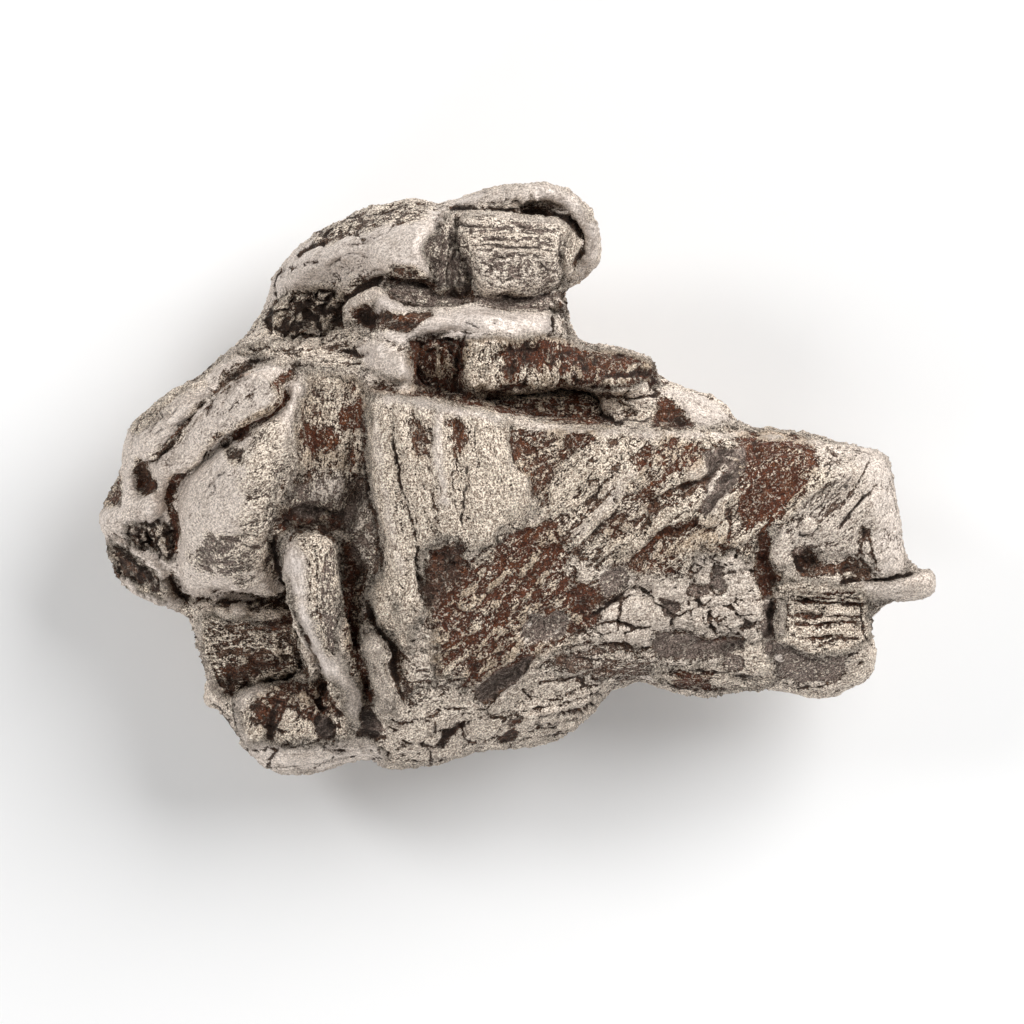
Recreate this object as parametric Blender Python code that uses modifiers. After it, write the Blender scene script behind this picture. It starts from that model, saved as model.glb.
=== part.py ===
"""An iron meteorite fragment, torn and folded when it burst, lying on its back. One solid, in metres, +Z up."""

import math

import bmesh
import bpy
import numpy as np
from mathutils import Vector, noise

# The lists below are in millimetres, with x to the right and y up as the stone is seen from above.
MM = 0.001

NAME = "meteorite"
BLANK_THICKNESS = 2.0
BLANK_VOXEL = 0.40
SHAPE_VOXEL = 0.34
FRONT_ROLL = 2.3
BACK_ROLL = 4.5
EDGE_THICKNESS = 0.9
ROUGHNESS = 0.16
ROUGH_SCALE = 1.7
SMOOTHING_ROUNDS = 2
TRIANGLES = 9400

# The stone's outline, clockwise from the notch beside the folded rim
OUTLINE = [
    (-4.7, 16.5), (-2.7, 17.2), (0.3, 17.75), (2.3, 17.6), (3.6, 16.9), (4.6, 15.4), (4.95, 14.0), (4.7, 13.1),
    (4.0, 12.4), (2.4, 11.1), (3.05, 10.1), (3.05, 9.1), (4.0, 8.15), (5.5, 8.0), (7.3, 7.6), (8.3, 7.15),
    (8.1, 6.5), (8.8, 5.9), (10.2, 5.5), (12.1, 4.75), (12.9, 3.75), (14.0, 3.1), (16.5, 2.9), (18.5, 2.5),
    (20.1, 2.05), (22.2, 1.65), (22.4, 0.6), (22.8, -1.6), (23.2, -3.9), (23.7, -5.4), (24.5, -5.25),
    (25.1, -5.5), (25.4, -6.2), (25.1, -6.9), (24.4, -7.2), (22.3, -7.25), (21.3, -8.0), (21.3, -9.3),
    (21.7, -10.5), (21.5, -11.5), (20.3, -12.6), (18.0, -13.25), (16.8, -12.75), (13.8, -12.7), (12.6, -13.0),
    (9.3, -12.7), (7.6, -12.1), (6.3, -12.4), (5.2, -13.0), (4.0, -14.6), (2.3, -15.6), (-0.5, -16.2),
    (-2.7, -16.4), (-5.4, -17.3), (-7.7, -17.5), (-9.5, -16.9), (-11.4, -17.5), (-14.4, -17.85),
    (-16.4, -16.4), (-17.9, -14.0), (-18.9, -13.8), (-19.15, -12.9), (-18.7, -12.2), (-19.2, -10.0),
    (-19.8, -8.1), (-22.0, -7.3), (-24.1, -6.2), (-24.95, -3.8), (-25.4, -2.6), (-25.2, -1.5), (-24.0, 0.6),
    (-23.8, 2.5), (-23.3, 3.5), (-21.2, 5.2), (-19.7, 6.0), (-17.2, 8.0), (-15.5, 10.1), (-14.8, 12.2),
    (-13.4, 14.0), (-12.0, 15.2), (-10.0, 16.1), (-8.0, 16.6), (-6.0, 16.95),
]

# Height of the line where front meets back, at places round the outline
EDGE_LEVELS = [
    (-25.0, -2.0, 6.2), (-20.0, 5.5, 7.6), (-15.0, 11.0, 7.2), (-8.0, 16.5, 9.0), (0.0, 17.6, 11.4),
    (4.9, 14.0, 10.8), (3.0, 9.5, 9.6), (8.0, 7.0, 9.2), (14.0, 3.0, 9.0), (22.0, 1.5, 9.4), (23.4, -5.0, 9.4),
    (25.2, -6.2, 9.2), (21.3, -9.0, 8.0), (18.0, -13.0, 6.6), (10.0, -12.8, 6.6), (3.0, -15.0, 6.2),
    (-6.0, -17.3, 5.8), (-14.0, -17.8, 5.8), (-19.0, -13.0, 6.4), (-20.0, -8.0, 6.8), (-3.0, -1.0, 9.0),
]

# General height of the front, before its plates, folds and pits are worked in
FRONT_LEVELS = [
    (-13.5, 5.0, 18.2), (-16.0, 6.3, 16.0), (-18.5, 4.8, 14.2), (-21.0, 3.2, 12.4), (-23.0, 1.5, 10.8),
    (-24.0, -2.0, 9.6), (-22.5, -5.0, 9.6), (-20.0, -7.0, 9.6), (-19.0, -1.5, 13.9), (-17.0, 1.5, 16.0),
    (-15.0, -1.5, 16.2), (-17.5, -5.0, 13.0), (-14.5, -5.5, 13.8), (-15.0, 7.6, 13.6), (-10.0, 7.5, 15.6),
    (-14.5, 11.5, 10.0), (-12.5, 13.6, 11.6), (-9.5, 14.8, 13.4), (-6.0, 15.5, 15.0), (-6.5, 13.0, 16.0),
    (-10.0, 12.3, 13.4), (-1.0, 14.0, 16.0), (2.0, 12.5, 15.4), (4.3, 14.5, 13.6), (0.0, 17.0, 14.4),
    (-4.0, 9.3, 16.4), (1.5, 9.3, 15.4), (0.0, 7.0, 16.4), (5.0, 6.8, 15.2), (8.0, 6.8, 13.6),
    (10.5, 4.6, 13.2), (-6.0, 4.0, 19.6), (0.0, 3.0, 18.6), (8.0, 2.5, 17.2), (14.0, 2.3, 15.9),
    (21.0, 1.0, 14.6), (-6.0, -4.0, 18.2), (2.0, -4.0, 17.0), (10.0, -4.0, 15.6), (18.0, -4.0, 14.0),
    (22.5, -4.0, 13.0), (25.0, -6.2, 10.8), (-6.0, -10.0, 15.4), (2.0, -9.0, 15.0), (10.0, -9.0, 13.7),
    (18.0, -9.0, 12.3), (-8.0, -15.0, 11.8), (0.0, -14.0, 12.0), (10.0, -12.0, 11.4), (19.0, -12.3, 10.4),
    (-11.0, 3.0, 17.0), (-9.0, -3.0, 17.0), (-12.0, -6.0, 14.0), (-10.0, -12.0, 12.6), (-15.0, -10.0, 10.4),
    (-19.0, -9.0, 9.8), (-16.0, -16.0, 9.8), (-12.0, -17.0, 9.4),
]

# General height of the back, whose middle is cut flat where the stone rests
BACK_LEVELS = [
    (-3.0, -1.0, -1.0), (5.0, -2.0, -0.1), (-11.0, -1.0, -0.1), (-3.0, 5.0, -0.1), (-3.0, -7.0, -0.1),
    (12.0, -3.0, 2.4), (18.0, -4.0, 4.4), (23.0, -4.5, 6.6), (-18.0, 0.0, 2.8), (-23.0, -2.0, 4.4),
    (-4.0, 11.0, 3.6), (-3.0, 15.5, 6.8), (-10.0, 13.0, 4.6), (-8.0, -13.0, 2.4), (-14.0, -14.0, 3.2),
    (4.0, -12.0, 3.0), (16.0, -10.5, 4.0), (10.0, 3.5, 3.4), (-17.0, 6.0, 4.0), (-18.0, -9.0, 3.2),
]


def smooth_step(share):
    share = np.clip(share, 0.0, 1.0)
    return share * share * (3.0 - 2.0 * share)


def rounded(path, closed=False, steps=4):
    """A path of straight runs as a smooth one through the same points."""
    points = [np.array(point, float) for point in path]
    count = len(points)
    runs = count if closed else count - 1
    smooth = []
    for i in range(runs):
        before = points[i - 1] if closed or i > 0 else points[i]
        start = points[i]
        end = points[(i + 1) % count]
        after = points[(i + 2) % count] if closed or i + 2 < count else end
        for k in range(steps):
            t = k / steps
            bend = (end - before) * t + (2 * before - 5 * start + 4 * end - after) * t * t
            bend += (3 * start - before - 3 * end + after) * t ** 3
            smooth.append(start + 0.5 * bend)
    if not closed:
        smooth.append(points[-1])
    return np.array(smooth)


def thin_plate(places, xy):
    """Heights at xy of the smoothest sheet through the given places (x, y, height)."""
    places = np.array(places, float)
    knots = places[:, :2]

    def pull(points):
        square = ((points[:, None, :] - knots[None]) ** 2).sum(axis=2)
        return 0.5 * square * np.log(square + 1e-9)

    count = len(knots)
    flat = np.hstack([np.ones((count, 1)), knots])
    system = np.zeros((count + 3, count + 3))
    system[:count, :count] = pull(knots)
    system[:count, count:] = flat
    system[count:, :count] = flat.T
    weights = np.linalg.solve(system, np.concatenate([places[:, 2], np.zeros(3)]))
    return pull(xy) @ weights[:count] + np.hstack([np.ones((len(xy), 1)), xy]) @ weights[count:]


def inside_by(xy, outline):
    """How far each point is inside a closed outline, and less than nothing outside it."""
    nearest = np.full(len(xy), np.inf)
    inside = np.zeros(len(xy), bool)
    for start, end in zip(outline, np.roll(outline, -1, axis=0)):
        run = end - start
        t = np.clip((xy - start) @ run / (run @ run), 0.0, 1.0)
        nearest = np.minimum(nearest, np.hypot(*(xy - start - t[:, None] * run).T))
        if start[1] != end[1]:
            crossed = (start[1] > xy[:, 1]) != (end[1] > xy[:, 1])
            inside ^= crossed & (xy[:, 0] < start[0] + (xy[:, 1] - start[1]) * run[0] / run[1])
    return np.where(inside, nearest, -nearest)


def off_path(xy, path):
    """Distance of each point from an open path, and the share of the path's length at which it is nearest."""
    lengths = np.hypot(*np.diff(path, axis=0).T)
    travelled = np.concatenate([[0.0], np.cumsum(lengths)])
    nearest = np.full(len(xy), np.inf)
    share = np.zeros(len(xy))
    for start, end, before, length in zip(path, path[1:], travelled, lengths):
        run = end - start
        t = np.clip((xy - start) @ run / (run @ run), 0.0, 1.0)
        gap = np.hypot(*(xy - start - t[:, None] * run).T)
        closer = gap < nearest
        nearest = np.where(closer, gap, nearest)
        share = np.where(closer, (before + t * length) / travelled[-1], share)
    return nearest, share


class Relief:
    """One side of the stone, as a height for each of its points. Positive rises stand out of that side."""

    def __init__(self, xy, levels, outwards):
        self.xy = xy
        self.z = thin_plate(levels, xy)
        self.outwards = outwards

    def plate(self, outline, at, height, slope=(0.0, 0.0), edge=0.45):
        """Brings a region to a sloping plane, which has the given height at one place."""
        share = smooth_step(0.5 + inside_by(self.xy, rounded(outline, closed=True)) / (2 * edge))
        plane = height + (self.xy - np.array(at)) @ np.array(slope)
        self.z = self.z + share * (plane - self.z)

    def step(self, outline, rise, edge=0.45):
        """Lifts a region, or sinks it by a negative rise."""
        share = smooth_step(0.5 + inside_by(self.xy, rounded(outline, closed=True)) / (2 * edge))
        self.z = self.z + self.outwards * rise * share

    def rib(self, path, width, rise, fade=0.18):
        """A rounded rib along a path, or a groove by a negative rise, running out at its ends."""
        gap, share = off_path(self.xy, rounded(path))
        profile = np.clip(1.0 - (gap / (0.5 * width)) ** 2, 0.0, 1.0) ** 1.5
        ends = smooth_step(np.minimum(share, 1.0 - share) / fade + 0.35)
        self.z = self.z + self.outwards * rise * profile * ends

    def knob(self, centre, radii, rise, turn=0.0):
        """A rounded lump, or a pit by a negative rise, whose first radius is turned by some degrees from x."""
        angle = math.radians(turn)
        offset = self.xy - np.array(centre)
        u = (offset[:, 0] * math.cos(angle) + offset[:, 1] * math.sin(angle)) / radii[0]
        v = (offset[:, 1] * math.cos(angle) - offset[:, 0] * math.sin(angle)) / radii[1]
        self.z = self.z + self.outwards * rise * np.clip(1.0 - u * u - v * v, 0.0, 1.0)


def work_left_lobes(front):
    """Smooth pillow lobes pressed side by side, with dark folds between them."""
    front.rib([(-18.3, 6.4), (-20.5, 4.6), (-22.2, 3.0), (-23.4, 1.0), (-23.6, -1.5)], 2.4, 1.8)
    front.rib([(-14.6, 6.2), (-16.6, 4.7), (-18.6, 3.0), (-20.6, 1.3), (-21.9, 0.1)], 2.6, 1.9)
    front.knob((-17.5, -2.4), (4.9, 3.3), 2.0, turn=62)
    front.knob((-15.6, 1.2), (2.6, 2.0), 0.8, turn=40)
    front.rib([(-15.0, 7.2), (-17.2, 6.0), (-19.2, 4.2), (-20.4, 2.5), (-22.2, 1.0)], 1.3, -2.2)
    fold = [(-13.0, 6.7), (-14.1, 5.8), (-14.0, 4.7), (-14.8, 4.0), (-16.7, 3.1), (-18.8, 1.6), (-20.2, 0.2)]
    front.rib(fold + [(-20.9, -1.5), (-20.6, -3.2), (-20.7, -4.6)], 1.4, -2.6)
    front.step([(-22.9, 1.1), (-21.9, 0.3), (-21.8, -0.5), (-22.9, -0.9)], -1.8, edge=0.35)
    front.step([(-24.1, 0.4), (-25.4, -1.2), (-24.0, -1.4), (-23.6, -0.4)], -0.9, edge=0.4)
    front.knob((-24.7, -2.3), (1.0, 0.9), 1.6)
    front.knob((-22.1, -1.6), (1.1, 1.0), 1.7)
    front.rib([(-22.0, -2.9), (-22.3, -4.1)], 1.6, -2.4)
    front.rib([(-24.3, -3.9), (-23.3, -4.9), (-22.4, -5.7), (-21.4, -6.7)], 1.5, -2.6)
    front.rib([(-23.5, -3.8), (-22.6, -4.3), (-21.9, -5.0), (-21.2, -6.0)], 0.9, 1.1)
    front.rib([(-25.0, -3.6), (-24.1, -5.8), (-22.0, -7.0), (-20.2, -7.6)], 1.3, 1.0)
    front.rib([(-20.9, -5.4), (-20.5, -6.7), (-19.4, -7.2), (-17.0, -7.4), (-14.4, -7.5), (-13.3, -7.9)], 1.2, -2.8)
    front.knob((-16.7, -7.75), (0.75, 0.6), 2.0)
    front.knob((-16.6, 1.5), (0.8, 0.6), -0.7)


def work_middle_hollow(front):
    """The hollow between the lobes and the fan, above the tongue, and the deep channels beside the tongue."""
    hollow = [(-13.4, 3.8), (-13.1, 2.0), (-12.9, 0.8), (-13.5, -0.3), (-13.9, -2.0), (-13.2, -3.0), (-10.5, -3.2),
              (-9.5, -1.5), (-8.9, 0.5), (-9.1, 3.0), (-8.9, 5.6), (-10.6, 6.6), (-12.6, 6.3)]
    front.plate(hollow, (-11.0, 2.0), 15.6, slope=(0.05, 0.22), edge=0.5)
    front.knob((-11.3, -0.7), (1.9, 1.2), 0.8)
    front.step([(-9.9, -0.6), (-8.9, 0.0), (-8.3, -2.5), (-7.8, -5.0), (-8.3, -6.0), (-9.6, -6.0), (-10.1, -3.0)], -1.2)
    front.rib([(-14.4, -2.5), (-12.4, -2.3), (-10.4, -2.9)], 1.3, -2.4)
    front.rib([(-14.6, -3.0), (-14.6, -5.0), (-14.0, -6.6), (-13.3, -8.1), (-12.7, -9.4)], 1.3, -2.6)
    front.rib([(-12.8, -9.2), (-12.0, -10.6), (-11.2, -12.1), (-10.6, -13.3)], 0.9, -1.8)
    channel = [(-10.2, -3.4), (-10.1, -5.0), (-10.0, -6.5), (-10.0, -8.0), (-9.9, -10.0), (-9.3, -11.5), (-8.7, -13.8)]
    front.rib(channel, 1.4, -2.5)
    front.rib([(-13.2, -8.3), (-12.9, -9.5), (-12.4, -11.0)], 0.8, 1.1)
    front.rib([(-8.6, -9.1), (-8.4, -10.8), (-8.1, -12.2), (-7.7, -13.8)], 1.7, 1.7)
    front.rib([(-7.9, -6.2), (-7.8, -8.5)], 1.8, 1.1)
    front.rib([(-9.1, -7.2), (-8.6, -8.5), (-7.9, -9.2), (-7.3, -10.0), (-7.1, -11.6), (-6.8, -13.1)], 0.9, -1.6)


def work_fan(front):
    """The fan of thin plates in the middle, standing proud of the rusty field to its right."""
    fan = [(-8.8, 4.9), (-5.0, 4.6), (-0.8, 3.7), (-0.3, 2.0), (0.0, 0.6), (0.8, 0.1), (0.8, -1.1), (-0.2, -1.8),
           (-0.7, -3.0), (-2.1, -4.0), (-2.9, -4.6), (-3.8, -3.4), (-5.2, -3.6), (-5.8, -5.2), (-5.9, -7.4),
           (-6.9, -9.0), (-7.9, -6.0), (-8.3, -2.5), (-9.0, 1.2)]
    front.step(fan, 0.7)
    front.rib([(-9.1, 3.2), (-9.0, 1.2), (-8.8, -0.5), (-8.3, -2.5), (-7.8, -5.0)], 0.9, -0.9)
    front.rib([(-7.6, 3.2), (-7.1, 1.5), (-6.8, 0.0), (-6.4, -1.5), (-6.0, -4.0), (-5.5, -7.4)], 0.8, -0.7)
    front.rib([(-4.5, 4.5), (-4.8, 2.0), (-4.4, 0.0), (-4.3, -1.6)], 1.0, 0.4)
    front.rib([(-3.3, 3.9), (-3.4, 1.0), (-3.0, -1.3), (-3.2, -3.0)], 0.7, -0.5)
    front.knob((-5.7, 2.7), (0.9, 1.3), -0.5)
    front.knob((-3.3, 2.7), (0.8, 1.1), -0.5)
    front.step([(-0.4, 3.4), (2.9, 3.0), (4.2, 2.4), (3.0, 0.9), (1.9, -0.6), (1.0, -0.8), (0.7, 0.3), (-0.1, 1.5)], -0.6)
    front.step([(-4.3, -3.8), (-5.2, -5.0), (-5.3, -7.4), (-4.0, -7.6), (-2.9, -5.8), (-3.1, -4.6)], -0.9)


def work_field(front):
    """Slanting ribs across the wedge, the smooth dark patches and the broken ledges low down on it."""
    front.rib([(7.0, 0.8), (5.9, -0.6), (5.0, -1.6), (4.2, -2.4), (3.3, -3.8)], 1.5, 0.6)
    front.rib([(5.9, -0.1), (4.5, -1.6), (3.7, -2.5), (2.9, -3.1)], 0.6, -0.7)
    front.rib([(6.7, -0.8), (6.0, -1.7), (5.2, -2.4), (4.4, -3.2)], 0.6, -0.7)
    front.rib([(11.8, 0.2), (10.0, -0.5), (9.0, -1.0), (8.2, -1.8), (7.0, -3.3)], 1.0, -1.0)
    front.rib([(9.2, -1.9), (8.2, -2.8), (7.2, -3.8)], 1.0, 0.6)
    front.rib([(11.0, -2.1), (9.5, -3.0), (8.3, -3.5), (7.3, -4.2), (6.7, -4.9)], 1.1, -1.1)
    front.rib([(13.6, -3.4), (11.0, -3.8), (8.8, -5.2)], 1.5, 0.5)
    front.rib([(6.6, 2.4), (7.2, 1.2), (7.0, 0.2)], 0.8, -0.6)
    front.knob((12.3, 0.9), (1.9, 1.2), -0.9, turn=50)
    front.rib([(12.6, 1.0), (12.0, 0.3), (11.3, -0.7)], 0.7, 0.9)
    front.rib([(13.3, -0.8), (12.6, -1.1), (11.9, -1.9), (11.0, -2.3)], 0.8, 1.0)
    front.step([(13.8, 2.7), (14.9, 2.4), (15.0, 1.4), (14.2, 1.0)], -1.0, edge=0.35)
    front.step([(5.0, -5.8), (6.0, -5.1), (6.6, -5.3), (6.3, -6.2), (5.1, -7.0)], -0.5)
    front.rib([(8.3, -6.9), (7.2, -6.5), (6.5, -6.6), (5.8, -7.1), (4.3, -8.0)], 0.7, -0.9)
    front.rib([(7.6, -6.0), (9.0, -6.4), (10.2, -6.3)], 1.4, 0.5)
    front.rib([(8.4, -7.1), (9.4, -7.6), (10.0, -7.3)], 0.9, -0.6)
    front.step([(1.1, -8.0), (2.4, -7.7), (3.0, -8.4), (2.6, -9.3), (0.9, -9.6), (0.4, -9.0)], -0.4)
    front.step([(-2.4, -12.2), (-1.4, -11.5), (0.4, -10.4), (1.0, -10.7), (0.1, -12.0), (-1.2, -12.9), (-2.4, -13.3)], -0.7)
    front.rib([(2.1, -10.0), (0.9, -11.3), (-0.3, -12.6), (-1.6, -13.8)], 0.9, 0.8)
    front.rib([(0.2, -8.9), (0.0, -9.9), (-0.6, -10.8), (-1.6, -11.4), (-3.0, -12.7)], 0.7, 0.5)
    front.rib([(-4.9, -16.1), (-4.4, -15.3), (-3.1, -14.5)], 1.2, -1.7)
    front.rib([(5.2, -12.8), (3.4, -13.3), (1.6, -13.9), (0.0, -14.4)], 0.8, 0.8)
    front.rib([(4.6, -13.5), (3.0, -14.1), (1.4, -14.9), (-0.8, -15.3)], 0.8, -0.9)
    front.rib([(5.2, -9.8), (7.0, -10.0), (8.3, -9.9)], 0.7, -0.8)
    front.rib([(5.0, -9.2), (6.6, -9.4), (7.9, -9.3)], 0.9, 0.5)
    front.step([(8.2, -9.1), (10.0, -8.9), (11.2, -9.5), (13.0, -9.4), (13.6, -10.2), (11.0, -10.8), (8.6, -10.6)], -0.7)
    front.rib([(8.8, -11.3), (10.5, -11.4), (12.2, -11.5), (15.2, -11.9)], 0.7, -0.8)


def work_right_end(front):
    """The wedge's right end: slanting slivers, a torn recess, the laddered block and the thin tab."""
    front.rib([(20.0, 0.9), (18.4, -0.4), (16.6, -2.2)], 0.9, 0.5)
    front.rib([(18.9, 1.0), (17.4, -0.3), (16.0, -1.7)], 0.8, 0.5)
    front.rib([(20.6, -0.1), (19.0, -1.3), (17.4, -2.6)], 0.7, -0.6)
    front.rib([(21.5, -0.4), (20.5, -1.2), (19.7, -2.0), (19.1, -2.8)], 0.6, -0.9)
    front.rib([(20.6, -2.4), (20.7, -3.3), (20.4, -4.7)], 0.8, -1.1)
    front.rib([(21.0, -3.2), (21.3, -4.0), (21.6, -5.0)], 0.6, -0.9)
    front.knob((17.3, -2.6), (0.6, 0.5), 0.6)
    torn = [(16.6, -4.2), (17.7, -4.0), (18.1, -4.7), (19.3, -4.8), (20.8, -4.9), (20.8, -5.6), (18.0, -5.6),
            (16.7, -5.2)]
    front.step(torn, -1.1, edge=0.35)
    front.rib([(23.9, -5.5), (22.5, -5.9), (21.0, -5.9), (19.4, -6.0)], 0.7, -1.6)
    front.rib([(20.4, -6.4), (22.0, -6.5), (24.6, -6.2)], 1.5, 0.7)
    notch = [(14.3, -3.1), (15.0, -3.3), (15.2, -5.0), (15.7, -5.8), (15.6, -6.7), (14.7, -6.8), (14.2, -5.4)]
    front.step(notch, -1.2, edge=0.35)
    front.rib([(15.5, -6.9), (15.2, -8.0), (15.1, -9.3)], 0.9, -1.1)
    front.step([(16.2, -6.7), (21.0, -6.7), (21.0, -9.5), (16.6, -9.4)], -0.5, edge=0.35)
    for side, middle in ((-7.2, -7.3), (-8.3, -8.5)):
        front.rib([(16.6, side), (18.4, middle), (20.8, side - 0.2)], 0.8, -0.7)
    front.rib([(16.6, -9.3), (18.4, -9.6), (20.9, -9.3)], 0.7, -0.7)
    front.rib([(18.2, -10.3), (19.3, -10.1), (20.6, -9.7)], 0.8, 0.6)
    front.step([(15.2, -9.8), (17.6, -10.4), (19.9, -10.6), (20.1, -11.3), (19.6, -12.1), (16.4, -12.0)], -0.6)
    front.rib([(21.0, -8.0), (20.9, -9.4), (21.3, -10.6)], 0.6, 0.5)


def work_ledges(front):
    """The slot behind the wedge's top edge, with the straight ledge, the rounded band and the lump above it."""
    band = [(-8.0, 11.2), (-7.0, 10.5), (-5.5, 10.1), (-2.8, 10.4), (-0.8, 10.0), (1.8, 9.9), (2.1, 8.9), (0.0, 8.75),
            (-1.8, 8.6), (-2.6, 8.1), (-4.5, 8.4), (-7.2, 8.1), (-8.6, 9.0)]
    front.plate(band, (-3.0, 9.4), 16.6, slope=(-0.08, 0.0), edge=0.8)
    front.rib([(-8.0, 10.2), (-5.8, 9.3), (-3.4, 9.3), (-1.0, 9.3), (1.6, 9.3)], 1.7, 0.9)
    ramp = [(-8.2, 11.9), (-5.5, 11.7), (-3.4, 11.0), (2.4, 11.1), (2.8, 10.2), (-0.8, 10.15), (-2.8, 10.6),
            (-5.5, 10.3), (-7.0, 10.8)]
    front.plate(ramp, (-1.0, 10.6), 13.6, slope=(0.05, -0.4), edge=0.35)
    front.plate([(-3.2, 8.2), (-3.2, 5.5), (-5.0, 5.4), (-6.2, 5.9), (-6.1, 7.1), (-5.2, 8.2)], (-4.6, 6.8), 13.0)
    ledge = [(-3.1, 8.3), (1.9, 8.7), (4.3, 8.05), (8.3, 7.2), (8.2, 6.5), (8.5, 5.8), (5.0, 5.6), (1.0, 5.25), (-3.0, 5.4)]
    front.plate(ledge, (0.0, 7.0), 17.0, slope=(-0.27, 0.12), edge=0.35)
    front.rib([(-2.9, 8.2), (1.9, 8.5), (4.3, 7.8), (8.0, 7.2)], 0.9, 0.4)
    front.rib([(4.7, 7.6), (4.8, 6.2)], 0.5, -0.5)
    front.rib([(4.9, 6.3), (6.4, 6.4), (8.0, 6.5)], 0.7, -0.9)
    slot = [(-8.6, 5.7), (-5.0, 5.3), (-1.0, 5.15), (1.2, 5.3), (3.0, 5.5), (4.8, 5.1), (5.1, 4.2), (6.0, 3.35),
            (3.0, 3.45), (0.0, 3.9), (-3.5, 4.6), (-5.5, 4.9), (-8.2, 5.2)]
    front.plate(slot, (3.0, 4.4), 11.2, slope=(-0.3, 0.0), edge=0.3)
    front.plate([(5.0, 4.7), (8.6, 4.6), (8.3, 3.3), (6.0, 3.3)], (6.8, 4.0), 13.6, slope=(0.0, 0.3), edge=0.3)
    front.rib([(4.8, 5.2), (6.8, 4.95), (8.6, 5.2)], 0.7, -2.2)
    front.plate([(8.5, 5.0), (9.5, 4.9), (10.9, 3.3), (8.2, 3.3)], (9.4, 4.0), 12.6, slope=(-0.3, 0.0), edge=0.3)
    lump = [(8.9, 5.6), (10.5, 5.4), (11.8, 5.0), (12.8, 3.8), (10.9, 3.3), (10.2, 4.0), (9.6, 4.9)]
    front.plate(lump, (11.0, 4.4), 13.9, slope=(-0.15, 0.1), edge=0.5)
    front.rib([(-9.2, 7.9), (-7.6, 7.4), (-6.2, 6.3)], 1.9, 1.1)
    front.knob((-6.8, 5.45), (0.5, 0.35), 0.9)
    front.rib([(-8.4, 5.0), (-5.5, 4.5), (-1.0, 3.6), (4.0, 2.95), (10.0, 2.8), (14.0, 2.9), (20.0, 1.9)], 0.9, 0.35)


def work_head(front):
    """The head: smooth lobes on the left, a split block on the right, and the rim folded round the block."""
    front.rib([(-14.3, 11.6), (-13.2, 12.9), (-11.0, 13.7), (-8.5, 14.3), (-6.3, 14.7), (-4.8, 15.7)], 2.8, 1.5)
    front.rib([(-9.0, 12.7), (-7.2, 13.0), (-5.8, 13.6)], 2.2, 1.0)
    front.rib([(-12.9, 13.2), (-11.6, 14.2), (-9.8, 15.1), (-8.0, 15.4)], 0.7, -0.8)
    front.rib([(-11.6, 14.9), (-10.9, 15.5), (-9.5, 16.1), (-8.0, 16.0), (-6.4, 16.6)], 0.7, -0.7)
    pits = [(-14.4, 10.8), (-13.0, 11.3), (-11.4, 11.4), (-10.6, 10.5), (-10.6, 8.8), (-12.3, 8.3), (-14.0, 8.6),
            (-15.0, 9.6)]
    front.plate(pits, (-12.6, 9.8), 9.0, slope=(0.3, 0.0), edge=0.45)
    for centre in ((-14.0, 10.2), (-13.3, 9.7), (-12.7, 8.7), (-11.5, 9.7)):
        front.knob(centre, (0.5, 0.4), 1.5, turn=40)
    front.rib([(-10.6, 9.7), (-9.6, 10.8), (-8.2, 11.1)], 1.8, 1.4)
    front.rib([(-11.0, 9.2), (-10.6, 10.5), (-9.5, 11.5), (-8.0, 12.1)], 1.0, -2.0)
    front.knob((-8.9, 10.0), (1.0, 0.5), -1.0)
    front.rib([(-14.0, 13.0), (-14.5, 12.3), (-14.5, 10.9)], 0.6, -1.0)
    front.rib([(-17.3, 7.5), (-15.5, 7.9), (-13.5, 7.9), (-11.5, 8.3)], 0.9, 0.9)
    front.rib([(-15.5, 7.2), (-12.5, 6.9), (-9.6, 6.9)], 0.9, 0.8)
    front.rib([(-16.4, 7.2), (-13.5, 7.4), (-10.2, 7.6), (-8.8, 7.6)], 0.7, -1.2)
    front.plate([(-3.9, 15.8), (-3.2, 14.0), (-2.7, 11.3), (-4.8, 11.5), (-5.6, 13.6), (-4.8, 15.0)],
                (-4.2, 13.0), 14.8, slope=(-0.9, 0.1), edge=0.4)
    block = [(-3.6, 15.5), (-1.5, 15.9), (1.0, 15.65), (2.8, 15.4), (3.1, 14.8), (2.6, 13.2), (2.9, 12.3), (2.3, 11.3),
             (0.0, 11.1), (-2.2, 11.2), (-2.8, 12.2), (-3.3, 14.0)]
    front.plate(block, (0.0, 13.4), 16.6, slope=(-0.22, 0.12), edge=0.35)
    front.rib([(-3.4, 15.1), (-1.0, 15.1), (1.2, 15.0), (2.6, 14.8)], 0.6, -0.8)
    front.plate([(2.7, 14.6), (3.3, 15.0), (3.9, 14.0), (3.2, 12.8), (2.6, 13.3)], (3.2, 14.0), 13.6, edge=0.3)
    rim = [(-4.4, 16.8), (-2.4, 16.9), (0.3, 17.1), (2.4, 17.1), (3.7, 16.2), (4.4, 15.2), (4.5, 14.0), (4.1, 13.0),
           (3.4, 12.2)]
    front.rib(rim, 1.5, 1.6)
    cleft = [(-2.9, 16.2), (-1.5, 16.15), (1.0, 16.0), (2.7, 15.8), (3.5, 15.2), (3.85, 14.4), (3.8, 13.6), (3.4, 12.9)]
    front.rib(cleft, 0.9, -3.4)
    front.rib([(-4.9, 16.6), (-4.3, 15.6), (-3.7, 14.8)], 0.8, -1.0)


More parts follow.
